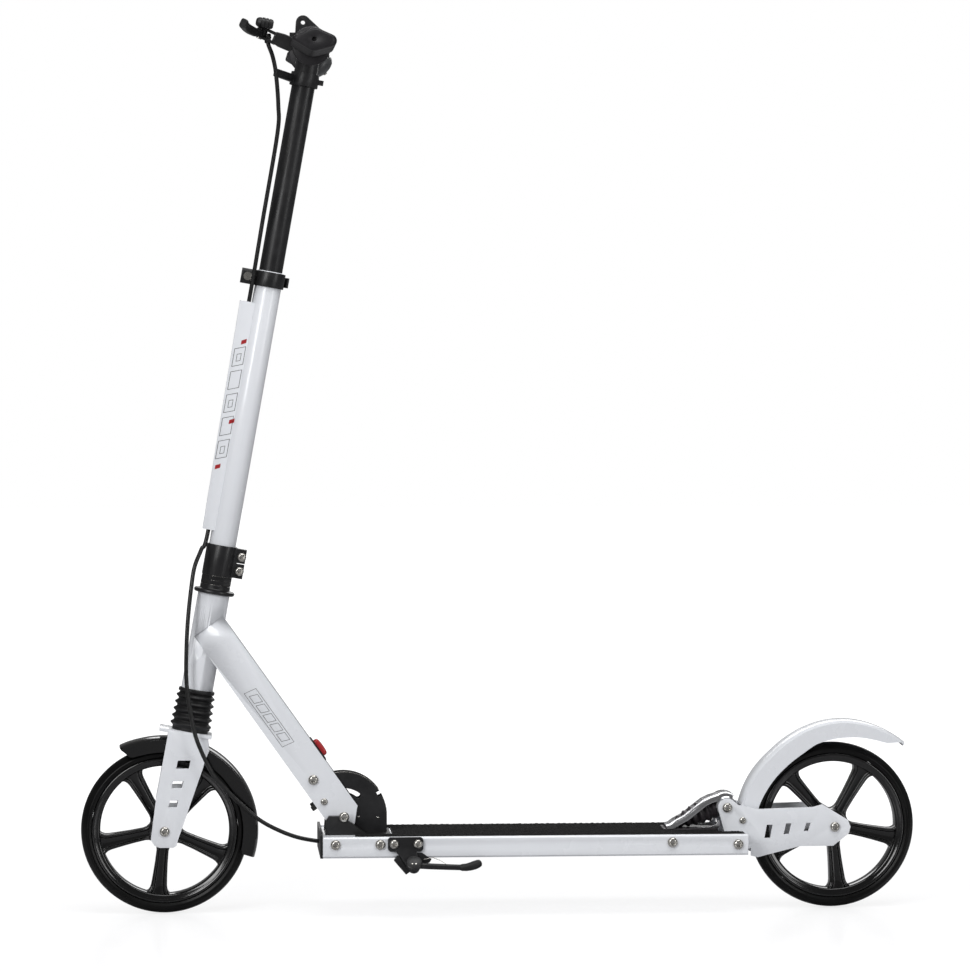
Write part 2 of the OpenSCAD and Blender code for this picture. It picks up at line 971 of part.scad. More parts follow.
module fork() {
    color("white")
        difference() {
            union() {
                translate([front_x, 0, wheel_r])
                    both_sides(leg_in, leg_in + leg_t)
                        difference() {
                            leg_outline();
                            leg_slot(22.5, wheel_r - 20, 17, 9.6);
                            leg_slot(15.5, wheel_r - 44, 14.5, 8);
                            leg_slot(10.5, wheel_r - 67, 12, 8);
                        }
                on_axis(crown_s - crown_t)
                    translate([-36, 0.5 - leg_in - leg_t, 0])
                        cube([63, 2 * (leg_in + leg_t) - 1, crown_t]);
            }
            rod_y(front_x, wheel_r, -deck_w, deck_w, axle_r + run_gap);
            on_axis(crown_s)
                translate([-60, -100, 0])
                    cube([120, 200, 40]);
            on_axis(crown_s - 10)
                cylinder(h = 20, r = 4 + run_gap);
        }
}

module fork_guide() {
    color("silver")
        on_axis(crown_s) {
            cylinder(h = 105, r = guide_tube_r);
            translate([0, 0, -crown_t - 1])
                cylinder(h = crown_t + 2, r = 4);
        }
}

module fork_spring() {
    color("gray")
        on_axis(crown_s + 105)
            tube(steerer_in - 0.6, 8, clamp_mid - 6 - crown_s - 105);
}

module bellows() {
    n = 5;
    pitch = (bellows_h - 8) / n;
    outer = concat(
        [[21.5, bellows_h], [21.5, bellows_h - 4]],
        [for (i = [n - 1:-1:0]) each [[20.5, 4 + (i + 0.9) * pitch], [25.2 - 0.5 * i, 4 + (i + 0.4) * pitch]]],
        [[21, 3], [21, 0]]);
    inner = [for (i = [len(outer) - 1:-1:0]) outer[i] - [1.6, 0]];
    color("black")
        on_axis(crown_s)
            rotate_extrude()
                polygon(concat(outer, inner));
}

// The U-shaped section of a fender, about the axle
module fender_ring(r, half, skirt) {
    rotate([90, 0, 0])
        rotate_extrude()
            polygon([
                [r, -half], [r, half], [skirt, half], [skirt, half - 2], [r - 2, half - 2],
                [r - 2, 2 - half], [skirt, 2 - half], [skirt, -half]]);
}

module front_fender() {
    color("black") {
        translate([front_x, 0, wheel_r])
            intersection() {
                fender_ring(fender_r, fender_half, fender_r - 18);
                slab(-50, 50)
                    polygon(concat([[0, 0]], [for (a = [-17, 20, 60, 100, 118]) polar(2 * wheel_r, a)]));
            }
        on_axis(crown_s - 14)
            difference() {
                cylinder(h = 14 - crown_t, r = 7);
                translate([0, 0, 14 - crown_t - 1])
                    cylinder(h = 2, r = 4 + run_gap);
            }
    }
}

module axle(x, out) {
    color("silver")
        translate([x, 0, wheel_r]) {
            rod_y(0, 0, -out - 0.01, out + 0.01, axle_r);
            rod_y(0, 0, out, out + 3.5, axle_head_r);
            rod_y(0, 0, -out - 3.5, -out, axle_head_r);
        }
}

module axle_spacers(x, in) {
    color("silver")
        translate([x, 0, wheel_r])
            for (side = [0, 1])
                mirror([0, side, 0])
                    difference() {
                        rod_y(0, 0, wheel_w / 2 + 0.3, in, 7);
                        rod_y(0, 0, 0, 50, axle_r);
                    }
}

module front_axle() {
    axle(front_x, leg_in + leg_t);
    axle_spacers(front_x, leg_in);
}

// One wheel's rim, with its first spoke at angle start
module rim(x, start) {
    half = tyre_round - 1.5;
    color("black")
        translate([x, 0, wheel_r])
            difference() {
                union() {
                    both_sides(-half, 0)
                        difference() {
                            circle(rim_out, $fn = 96);
                            circle(rim_in, $fn = 96);
                        }
                    slab(-wheel_w / 2, wheel_w / 2)
                        circle(hub_r);
                    slab(-9, 9)
                        for (k = [0:spokes - 1])
                            rotate(start + k * 360 / spokes)
                                polygon([[15, -7.5], [rim_in + 1.5, -10], [rim_in + 1.5, 10], [15, 7.5]]);
                }
                for (side = [0, 1])
                    mirror([0, side, 0])
                        rod_y(0, 0, wheel_w / 2 - bearing_w, wheel_w, bearing_r);
                rod_y(0, 0, -wheel_w, wheel_w, axle_r + 2);
            }
}

module tyre(x) {
    color("black")
        translate([x, 0, wheel_r])
            rotate([90, 0, 0])
                rotate_extrude()
                    intersection() {
                        translate([wheel_r - tyre_round, 0])
                            circle(tyre_round);
                        translate([rim_out, -wheel_w])
                            square([2 * tyre_t, 2 * wheel_w]);
                    }
}

module bearings(x) {
    color("silver")
        translate([x, 0, wheel_r])
            for (side = [0, 1])
                mirror([0, side, 0])
                    difference() {
                        rod_y(0, 0, wheel_w / 2 - bearing_w, wheel_w / 2, bearing_r);
                        rod_y(0, 0, 0, wheel_w, axle_r + run_gap);
                    }
}

module front_rim() {
    rim(front_x, -96);
}

module front_tyre() {
    tyre(front_x);
}

module front_bearings() {
    bearings(front_x);
}

module rear_rim() {
    rim(rear_x, -12);
}

module rear_tyre() {
    tyre(rear_x);
}

module rear_bearings() {
    bearings(rear_x);
}

// --- rear end ---
module arm_outline() {
    ax = rear_x;
    az = wheel_r;
    hull() {
        translate([ear_x, ear_z])
            circle(11, $fn = 32);
        translate([arm_pivot_x, arm_pivot_z])
            circle(9, $fn = 32);
        translate([small_x + 6, small_z - 2])
            circle(9, $fn = 32);
    }
    polygon([
        [arm_pivot_x, ear_z - 18], [ear_x + 10, ear_z + 4], [deck_x1 + 16, ear_z - 2], [ax - 26, az + 24],
        [ax - 15, az + 27], [ax + 16, az + 8], [ax + 19, az], [ax + 17, az - 8], [ax - 2, az - 23],
        [ax - 42, az - 23], [deck_x1 + 16, ground_gap - 7], [deck_x1 + 8, ground_gap - 5],
        [deck_x1 + 8, arm_pivot_z - 9], [arm_pivot_x, arm_pivot_z - 9]]);
}

module arm_slot(x, z, w, h) {
    translate([x, z])
        polygon([[-w / 2, -h / 2], [w / 2 - 3, -h / 2], [w / 2, h / 2], [3 - w / 2, h / 2]]);
}

module swingarm() {
    color("white")
        difference() {
            union() {
                both_sides(arm_in, arm_in + arm_t)
                    difference() {
                        arm_outline();
                        arm_slot(rear_x - 80.5, wheel_r - 5, 10, 16);
                        arm_slot(rear_x - 57.5, wheel_r - 2, 9.4, 13);
                        arm_slot(rear_x - 33.5, wheel_r, 8.4, 10);
                    }
                rod_y(arm_pivot_x, arm_pivot_z, -arm_in - 1, arm_in + 1, 7);
            }
            rod_y(arm_pivot_x, arm_pivot_z, -deck_w, deck_w, pivot_r + run_gap);
            rod_y(rear_x, wheel_r, -deck_w, deck_w, axle_r + run_gap);
            rod_y(ear_x, ear_z, -deck_w, deck_w, 4 + run_gap);
            rod_y(small_x, small_z, -deck_w, deck_w, 3 + run_gap);
        }
}

module cross_bolt(x, z, r, head_r, out) {
    rod_y(x, z, -out - 0.01, out + 0.01, r);
    rod_y(x, z, out, out + 3.5, head_r);
    rod_y(x, z, -out - 3.5, -out, head_r);
}

module arm_bolts() {
    color("silver") {
        cross_bolt(ear_x, ear_z, 4, 5.7, arm_in + arm_t);
        cross_bolt(small_x, small_z, 3, 4, arm_in + arm_t);
    }
}

module rear_axle() {
    axle(rear_x, arm_in + arm_t);
    axle_spacers(rear_x, arm_in);
}

module shock_rod() {
    color("silver")
        difference() {
            union() {
                rod_y(ear_x, ear_z, -arm_in + 0.3, arm_in - 0.3, 7);
                translate([ear_x, 0, ear_z])
                    rotate([0, -112, 0])
                        cylinder(h = 13.7, r = 5);
            }
            rod_y(ear_x, ear_z, -50, 50, 4);
        }
}

module shock_spring() {
    foot = grip_top + base_t + 0.3;
    color("dimgray")
        slab(-shock_y + 2, shock_y - 2)
            polygon([
                [ear_x - 17, ear_z + 5], [ear_x - 24, ear_z + 4], [ear_x - 58, foot + 5], [ear_x - 63, foot],
                [ear_x - 5, foot], [ear_x - 7.4, foot + 7]]);
}

module shock_bracket() {
    foot = grip_top + base_t;
    color("silver") {
        translate([ear_x - 72, -shock_y, grip_top])
            cube([62, 2 * shock_y, base_t]);
        both_sides(shock_y - 1.6, shock_y)
            polygon([
                [ear_x - 36, foot - 0.1], [ear_x - 10, foot - 0.1], [ear_x - 10, foot + 12], [ear_x - 14, foot + 6],
                [ear_x - 24, foot + 3]]);
    }
}

module shock_cover() {
    foot = grip_top + base_t;
    head = [ear_x, ear_z];
    color("silver")
        slab(-shock_y - 2, shock_y + 2)
            polygon(concat(
                [[ear_x - 72, foot], [ear_x - 70, foot + 2.5], [ear_x - 27, ear_z + 8]],
                [for (a = [132:-14.5:45]) head + polar(18, a)],
                [for (a = [45:14.5:132]) head + polar(16, a)],
                [[ear_x - 25.5, ear_z + 5.5], [ear_x - 67, foot]]));
}

module rear_fender() {
    outer = [for (p = [[167, 16], [149, 16], [131, 16], [119, 18.5], [107, 22], [93, 26], [80, 29], [64, 31.5], [49, 33]])
        polar(wheel_r + p[1], p[0])];
    inner = [for (i = [len(outer) - 1:-1:0]) outer[i] * (1 - 2.5 / norm(outer[i]))];
    lower = [for (p = [[49, 31], [57, 18], [81, 8], [102, 1], [114, -5], [130, -8], [150, -8], [167, -6]])
        polar(wheel_r + p[1], p[0])];
    half = rear_fender_in + 2;
    color("white")
        difference() {
            union() {
                translate([rear_x, 0, wheel_r])
                    difference() {
                        slab(-half, half)
                            polygon(concat(outer, lower));
                        slab(-rear_fender_in, rear_fender_in)
                            polygon(concat(inner, [for (i = [len(lower) - 1:-1:0]) lower[i] * 0.9]));
                    }
                both_sides(rear_fender_in, half)
                    hull() {
                        translate([small_x, small_z])
                            circle(7, $fn = 32);
                        translate([rear_x, wheel_r] + polar(wheel_r + 4, 160))
                            circle(9, $fn = 32);
                    }
                for (side = [0, 1])
                    mirror([0, side, 0])
                        rod_y(small_x, small_z, half - 0.1, arm_in - 0.2, 5);
            }
            rod_y(small_x, small_z, -50, 50, 3 + run_gap);
        }
}

module brake_arm() {
    color("black")
        difference() {
            union() {
                rod_y(small_x, small_z, -rear_fender_in + 0.5, rear_fender_in - 0.5, 5.5);
                slab(-8, 8)
                    polygon([
                        [small_x - 3, small_z], [small_x + 5, small_z], [small_x + 7, small_z - 10],
                        [small_x + 9.5, small_z - 12], [small_x + 10.5, small_z - 24], [small_x + 2, small_z - 26]]);
            }
            rod_y(small_x, small_z, -50, 50, 3 + run_gap);
        }
}

// --- kickstand ---
module on_stand() {
    translate([stand_x, stand_y, stand_z])
        rotate([-90 - stand_lean, 0, 0])
            children();
}

module kickstand_bracket() {
    side = -deck_w / 2;
    color("black")
        difference() {
            union() {
                slab(side - 4, side)
                    translate([stand_x - 9.5, ground_gap + 16.5])
                        rounded([42, 17], 4);
                hull() {
                    on_stand()
                        translate([0, 0, 1.3])
                            cylinder(h = 4.4, r = 7, $fn = 32);
                    slab(side - 4, side)
                        translate([stand_x - 9, ground_gap + 10])
                            square([24, 4], center = true);
                }
            }
            on_stand()
                cylinder(h = 40, r = 3 + run_gap, center = true);
            on_stand()
                translate([0, 0, -12])
                    cylinder(h = 13, r = 7.6);
            stand_bolt_places()
                cylinder(h = 20, r = 3 + run_gap, center = true);
        }
}

module kickstand_leg() {
    color("black") {
        difference() {
            union() {
                on_stand()
                    translate([0, 0, -7])
                        cylinder(h = 8, r = 7);
                on_stand()
                    translate([4, 0, -3])
                        rotate([0, 90, 0])
                            cylinder(h = 62, r = 3.3);
            }
            on_stand()
                translate([0, 0, -8])
                    cylinder(h = 12, r = 3);
        }
        on_stand()
            translate([0, 0, -9])
                cylinder(h = 2.5, r = 5);
        on_stand()
            translate([0, 0, -8])
                cylinder(h = 15, r = 3);
    }
}

module kickstand_foot() {
    color("black")
        on_stand()
            difference() {
                hull() {
                    translate([58, 0, -3])
                        rotate([0, 90, 0])
                            cylinder(h = 18, r = 5.5, $fn = 32);
                    translate([76, -1.5, -3])
                        sphere(5, $fn = 32);
                }
                translate([50, 0, -3])
                    rotate([0, 90, 0])
                        cylinder(h = 16, r = 3.3);
            }
}

// --- brake cable ---
module brake_cable_upper() {
    color("black")
        sweep(smooth(UPPER_ROUTE, 3), cable_d / 2);
}

module brake_cable_lower() {
    color("black")
        sweep(smooth(LOWER_ROUTE, 2), cable_d / 2);
}

module brake_cable_deck() {
    color("black")
        sweep(smooth(DECK_ROUTE, 2), cable_d / 2);
}

deck_shell();
deck_grip();
deck_front_plate();
fold_clevis();
fold_plates();
fold_bolt();
deck_bolts();
kickstand_bracket();
shock_bracket();
shock_cover();
shock_spring();
brake_cable_deck();
neck();
headset_cups();
latch_base();
neck_bumper();
neck_bolts();
brake_cable_lower();
latch_button();
lock_pawl();
steerer_tube();
headset_nuts();
lower_clamp();
stem_tube();
cable_guard();
height_collar();
stem_bolts();
quick_lever();
column_tube();
handlebar();
grips();
strap_eye();
cable_clip();
lever_perch();
lever_pin();
bell_base();
bell_dome();
brake_cable_upper();
brake_lever();
bell_hammer();
fork();
fork_guide();
fork_spring();
bellows();
front_fender();
front_axle();
front_rim();
front_tyre();
front_bearings();
swingarm();
shock_rod();
arm_bolts();
rear_axle();
rear_rim();
rear_tyre();
rear_bearings();
rear_fender();
kickstand_leg();
kickstand_foot();
brake_arm();
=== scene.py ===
# %% [markdown]
# # A folding kick scooter
# This notebook dresses a working scooter. The exact parts, with their pins, bores and joints, come
# in as a fixed frame. Each cell then adds one finish or one piece, and says why it is made that way.
# Every length in the cells is in millimetres, and `mm()` turns it into Blender's metres.

# %% Open the frame
import json
import math
import random

import bmesh
import bpy
from mathutils import Matrix, Vector
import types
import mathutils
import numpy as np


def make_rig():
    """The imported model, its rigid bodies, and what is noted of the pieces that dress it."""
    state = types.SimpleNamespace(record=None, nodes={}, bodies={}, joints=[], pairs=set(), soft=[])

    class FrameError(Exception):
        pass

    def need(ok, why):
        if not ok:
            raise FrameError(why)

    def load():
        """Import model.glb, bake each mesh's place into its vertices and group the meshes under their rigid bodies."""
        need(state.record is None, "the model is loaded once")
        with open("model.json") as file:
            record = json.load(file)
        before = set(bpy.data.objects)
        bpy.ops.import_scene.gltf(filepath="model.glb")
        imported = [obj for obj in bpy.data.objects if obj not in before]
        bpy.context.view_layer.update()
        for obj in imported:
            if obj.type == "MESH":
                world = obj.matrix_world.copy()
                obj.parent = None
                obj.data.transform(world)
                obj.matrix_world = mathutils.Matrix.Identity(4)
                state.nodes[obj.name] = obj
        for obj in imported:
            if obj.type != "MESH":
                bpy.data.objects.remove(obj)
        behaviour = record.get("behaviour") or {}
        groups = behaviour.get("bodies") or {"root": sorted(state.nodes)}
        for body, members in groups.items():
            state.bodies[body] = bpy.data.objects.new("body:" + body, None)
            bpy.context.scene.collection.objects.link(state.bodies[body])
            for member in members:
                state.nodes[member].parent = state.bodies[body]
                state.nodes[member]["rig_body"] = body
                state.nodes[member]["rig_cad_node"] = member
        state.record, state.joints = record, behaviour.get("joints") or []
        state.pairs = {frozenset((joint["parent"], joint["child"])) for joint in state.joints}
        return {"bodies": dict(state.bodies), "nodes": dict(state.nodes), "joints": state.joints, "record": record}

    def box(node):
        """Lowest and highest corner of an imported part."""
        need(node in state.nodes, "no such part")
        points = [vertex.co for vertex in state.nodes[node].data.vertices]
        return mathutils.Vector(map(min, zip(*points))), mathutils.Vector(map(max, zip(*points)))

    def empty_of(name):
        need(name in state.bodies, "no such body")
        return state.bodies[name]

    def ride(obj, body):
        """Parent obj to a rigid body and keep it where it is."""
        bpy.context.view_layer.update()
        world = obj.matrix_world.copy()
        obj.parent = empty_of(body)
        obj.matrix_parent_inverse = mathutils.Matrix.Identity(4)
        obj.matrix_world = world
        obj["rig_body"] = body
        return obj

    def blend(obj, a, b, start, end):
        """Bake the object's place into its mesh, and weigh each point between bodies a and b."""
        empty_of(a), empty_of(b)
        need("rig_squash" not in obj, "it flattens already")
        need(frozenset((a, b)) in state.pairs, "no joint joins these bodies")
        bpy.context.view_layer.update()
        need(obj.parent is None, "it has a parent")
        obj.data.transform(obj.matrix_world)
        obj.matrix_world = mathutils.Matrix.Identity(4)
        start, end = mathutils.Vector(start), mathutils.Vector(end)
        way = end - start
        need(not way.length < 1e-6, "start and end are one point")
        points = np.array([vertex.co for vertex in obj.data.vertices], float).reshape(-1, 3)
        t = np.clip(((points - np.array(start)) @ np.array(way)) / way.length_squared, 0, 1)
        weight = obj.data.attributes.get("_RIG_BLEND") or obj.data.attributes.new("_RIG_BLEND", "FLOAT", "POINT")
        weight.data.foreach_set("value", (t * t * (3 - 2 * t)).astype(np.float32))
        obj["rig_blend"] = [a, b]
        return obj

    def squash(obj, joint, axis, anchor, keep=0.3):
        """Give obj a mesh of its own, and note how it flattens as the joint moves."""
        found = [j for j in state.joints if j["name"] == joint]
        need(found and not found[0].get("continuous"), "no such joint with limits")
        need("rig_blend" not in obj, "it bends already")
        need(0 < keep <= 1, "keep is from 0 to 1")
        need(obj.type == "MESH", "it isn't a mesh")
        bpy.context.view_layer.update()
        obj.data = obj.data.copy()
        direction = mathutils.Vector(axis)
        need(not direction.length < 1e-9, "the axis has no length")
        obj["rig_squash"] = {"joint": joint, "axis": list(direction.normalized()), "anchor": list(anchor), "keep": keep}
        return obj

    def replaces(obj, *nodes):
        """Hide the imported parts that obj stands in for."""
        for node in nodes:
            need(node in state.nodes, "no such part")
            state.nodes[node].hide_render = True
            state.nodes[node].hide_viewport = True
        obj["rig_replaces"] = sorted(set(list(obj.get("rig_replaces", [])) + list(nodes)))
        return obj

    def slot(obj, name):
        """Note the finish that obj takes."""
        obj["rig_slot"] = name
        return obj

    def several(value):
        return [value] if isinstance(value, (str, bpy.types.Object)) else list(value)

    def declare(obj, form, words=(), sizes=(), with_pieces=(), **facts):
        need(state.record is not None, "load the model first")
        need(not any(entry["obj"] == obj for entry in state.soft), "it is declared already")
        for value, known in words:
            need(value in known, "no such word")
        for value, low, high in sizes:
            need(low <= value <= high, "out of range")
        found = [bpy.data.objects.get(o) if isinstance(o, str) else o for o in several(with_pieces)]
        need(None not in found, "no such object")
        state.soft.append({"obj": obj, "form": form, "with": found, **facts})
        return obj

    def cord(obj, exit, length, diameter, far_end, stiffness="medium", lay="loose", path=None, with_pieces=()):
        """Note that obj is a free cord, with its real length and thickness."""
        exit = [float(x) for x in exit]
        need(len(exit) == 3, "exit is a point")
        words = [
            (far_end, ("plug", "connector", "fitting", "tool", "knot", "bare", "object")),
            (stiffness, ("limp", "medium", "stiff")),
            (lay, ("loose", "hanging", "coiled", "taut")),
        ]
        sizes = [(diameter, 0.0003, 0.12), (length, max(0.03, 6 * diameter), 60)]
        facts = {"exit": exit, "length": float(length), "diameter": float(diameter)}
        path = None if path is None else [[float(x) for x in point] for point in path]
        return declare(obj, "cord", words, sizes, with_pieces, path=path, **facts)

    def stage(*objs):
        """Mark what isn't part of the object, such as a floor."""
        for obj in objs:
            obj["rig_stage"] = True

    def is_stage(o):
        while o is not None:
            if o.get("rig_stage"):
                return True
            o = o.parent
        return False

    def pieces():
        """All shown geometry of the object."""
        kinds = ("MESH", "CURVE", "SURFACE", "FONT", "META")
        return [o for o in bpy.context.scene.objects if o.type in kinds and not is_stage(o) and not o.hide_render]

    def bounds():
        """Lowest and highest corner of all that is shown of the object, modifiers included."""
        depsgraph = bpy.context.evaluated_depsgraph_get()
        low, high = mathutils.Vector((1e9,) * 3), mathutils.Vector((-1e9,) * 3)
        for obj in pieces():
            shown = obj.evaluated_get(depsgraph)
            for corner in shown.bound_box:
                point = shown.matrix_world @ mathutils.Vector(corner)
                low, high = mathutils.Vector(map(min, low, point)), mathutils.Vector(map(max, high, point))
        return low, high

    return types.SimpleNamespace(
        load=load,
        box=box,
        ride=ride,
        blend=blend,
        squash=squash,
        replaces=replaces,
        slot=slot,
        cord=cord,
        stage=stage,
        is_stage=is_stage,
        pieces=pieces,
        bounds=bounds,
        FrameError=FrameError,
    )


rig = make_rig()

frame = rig.load()
cad_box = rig.bounds()
record = frame["record"]
BODY_OF = {node: body for body, nodes in record["behaviour"]["bodies"].items() for node in nodes}
SLOT_OF = {part["node"]: part["material_slot"] for part in record["subparts"]}
JOINT = {joint["name"]: joint for joint in record["behaviour"]["joints"]}
print(len(BODY_OF), "parts on", len(set(BODY_OF.values())), "bodies")

# %% [markdown]
# ## Where things are
# A scooter's pieces line up on a few axes: the two axles, the fold pivot and the leaning steering
# axis. Reading those from the joints keeps every new piece in line with the parts that carry it.

# %% Axes and places
Y_AXIS = Vector((0, 1, 0))
Z_AXIS = Vector((0, 0, 1))


def mm(*values):
    point = [value / 1000 for value in values]
    return point[0] if len(point) == 1 else Vector(point)


def place(joint):
    return Vector(JOINT[joint]["pos_m"])


FRONT = place("front_roll")
REAR = place("rear_roll")
FOLD = place("fold")
STEER = Vector(JOINT["steering"]["axis"]).normalized()
STEER_BACK = STEER.cross(Y_AXIS).normalized() * -1
STEER_BASE = FRONT + mm(9, 0, 0)
NECK_UP = Vector(JOINT["button_press"]["axis"]).normalized()
NECK_ALONG = Vector((-NECK_UP.z, 0, NECK_UP.x))
BAR_LOW, BAR_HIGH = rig.box("handlebar")
BAR = (BAR_LOW + BAR_HIGH) / 2


def on_steer(s, back=0, side=0):
    return STEER_BASE + STEER * mm(s) + STEER_BACK * mm(back) + Y_AXIS * mm(side)


def on_neck(u, v, side=0):
    return FOLD + NECK_ALONG * mm(u) + NECK_UP * mm(v) + Y_AXIS * mm(side)


def axes(forward, up):
    """A turn whose local Z is forward and whose local X is as near to up as it can be."""
    z = forward.normalized()
    x = (up - z * up.dot(z)).normalized()
    return Matrix((x, z.cross(x), z)).transposed()


print("bar at", [round(value, 4) for value in BAR], "steering leans",
      round(math.degrees(math.acos(STEER.z)), 1))

# %% [markdown]
# ## The camera
# A side view from five metres with a long lens, as catalogue pictures of bicycles and scooters are
# taken: the wheels stay round, and both ends of the deck are seen almost square on.

# %% Set the camera
LOOK_AT = mm(-17.8, 0, 511.2)
CAMERA_AZIMUTH = math.radians(-4)
CAMERA_ELEVATION = math.radians(2)
CAMERA_DISTANCE = 5.0
camera_data = bpy.data.cameras.new("studio_camera")
camera_data.lens = 154.3
camera_data.sensor_width = 36
camera = bpy.data.objects.new("studio_camera", camera_data)
camera.location = LOOK_AT + CAMERA_DISTANCE * Vector((
    math.sin(CAMERA_AZIMUTH) * math.cos(CAMERA_ELEVATION),
    -math.cos(CAMERA_AZIMUTH) * math.cos(CAMERA_ELEVATION),
    math.sin(CAMERA_ELEVATION)))
camera.rotation_euler = (LOOK_AT - camera.location).to_track_quat("-Z", "Y").to_euler()
bpy.context.collection.objects.link(camera)
bpy.context.scene.camera = camera
print("camera at", [round(value, 3) for value in camera.location])

# %% [markdown]
# ## Finishes
# The scooter has few finishes: white powder coat, black coat, shiny black nylon, rubber, zinc and a
# little red and grey. What makes each of them real is its fine surface, so two effects are built
# once as node groups. One gives the tiny waves of sprayed or moulded skin, and the other gives the
# dull patches that hands, shoes and dust leave.

# %% Two shared effects
def new_group(name, inputs, outputs):
    group = bpy.data.node_groups.new(name, "ShaderNodeTree")
    for label, kind, default in inputs:
        socket = group.interface.new_socket(name=label, in_out="INPUT", socket_type=kind)
        socket.default_value = default
    for label, kind in outputs:
        group.interface.new_socket(name=label, in_out="OUTPUT", socket_type=kind)
    return group, group.nodes.new("NodeGroupInput"), group.nodes.new("NodeGroupOutput")


def noise(tree, scale, detail, roughness=0.5):
    node = tree.nodes.new("ShaderNodeTexNoise")
    node.inputs["Scale"].default_value = scale
    node.inputs["Detail"].default_value = detail
    node.inputs["Roughness"].default_value = roughness
    return node


def make_skin_group():
    group, given, out = new_group(
        "surface_skin",
        [("Scale", "NodeSocketFloat", 500.0), ("Depth", "NodeSocketFloat", 0.02)],
        [("Normal", "NodeSocketVector")])
    coordinates = group.nodes.new("ShaderNodeTexCoord")
    waves = noise(group, 500, 3)
    bump = group.nodes.new("ShaderNodeBump")
    bump.inputs["Strength"].default_value = 1.0
    group.links.new(coordinates.outputs["Object"], waves.inputs["Vector"])
    group.links.new(given.outputs["Scale"], waves.inputs["Scale"])
    group.links.new(waves.outputs["Fac"], bump.inputs["Height"])
    group.links.new(given.outputs["Depth"], bump.inputs["Distance"])
    group.links.new(bump.outputs["Normal"], out.inputs["Normal"])
    return group


def make_wear_group():
    group, given, out = new_group(
        "handling_wear",
        [("Scale", "NodeSocketFloat", 20.0), ("Amount", "NodeSocketFloat", 0.3)],
        [("Mask", "NodeSocketFloat")])
    coordinates = group.nodes.new("ShaderNodeTexCoord")
    patches = noise(group, 20, 6, 0.65)
    spread = group.nodes.new("ShaderNodeMapRange")
    spread.inputs["From Min"].default_value = 0.42
    spread.inputs["From Max"].default_value = 0.72
    amount = group.nodes.new("ShaderNodeMath")
    amount.operation = "MULTIPLY"
    group.links.new(coordinates.outputs["Object"], patches.inputs["Vector"])
    group.links.new(given.outputs["Scale"], patches.inputs["Scale"])
    group.links.new(patches.outputs["Fac"], spread.inputs["Value"])
    group.links.new(spread.outputs["Result"], amount.inputs[0])
    group.links.new(given.outputs["Amount"], amount.inputs[1])
    group.links.new(amount.outputs["Value"], out.inputs["Mask"])
    return group


SKIN = make_skin_group()
WEAR = make_wear_group()
print("effects:", SKIN.name, "and", WEAR.name)

# %% [markdown]
# ## One recipe for a painted, moulded or plated finish
# Each finish is a Principled shader. Its colour drifts a little towards a second tone, its
# roughness rises in the worn patches, and its skin bends the highlights.

# %% The finish recipe
def finish(name, colour, worn, roughness, worn_roughness, metal=0.0, coat=0.0, skin=(500, 0.00002),
           wear=(18, 0.4), specular=0.5):
    material = bpy.data.materials.new(name)
    material.use_nodes = True
    tree = material.node_tree
    shader = tree.nodes["Principled BSDF"]
    shader.inputs["Metallic"].default_value = metal
    shader.inputs["Coat Weight"].default_value = coat
    shader.inputs["Coat Roughness"].default_value = 0.06
    shader.inputs["Specular IOR Level"].default_value = specular
    marks = tree.nodes.new("ShaderNodeGroup")
    marks.node_tree = WEAR
    marks.inputs["Scale"].default_value = wear[0]
    marks.inputs["Amount"].default_value = wear[1]
    tone = tree.nodes.new("ShaderNodeMix")
    tone.data_type = "RGBA"
    tone.inputs["A"].default_value = (*colour, 1)
    tone.inputs["B"].default_value = (*worn, 1)
    dull = tree.nodes.new("ShaderNodeMapRange")
    dull.inputs["To Min"].default_value = roughness
    dull.inputs["To Max"].default_value = worn_roughness
    waves = tree.nodes.new("ShaderNodeGroup")
    waves.node_tree = SKIN
    waves.inputs["Scale"].default_value = skin[0]
    waves.inputs["Depth"].default_value = skin[1]
    tree.links.new(marks.outputs["Mask"], tone.inputs["Factor"])
    tree.links.new(tone.outputs["Result"], shader.inputs["Base Color"])
    tree.links.new(marks.outputs["Mask"], dull.inputs["Value"])
    tree.links.new(dull.outputs["Result"], shader.inputs["Roughness"])
    tree.links.new(waves.outputs["Normal"], shader.inputs["Normal"])
    return material


# %% [markdown]
# ## The finishes themselves
# White powder coat is cool and glossy, with a faint orange-peel skin. The black steel parts are
# stove-enamelled, the wheels are glossy moulded nylon, and the tyres are cast polyurethane. Screws
# are zinc plated, and the deck's top carries a coarse black grit.

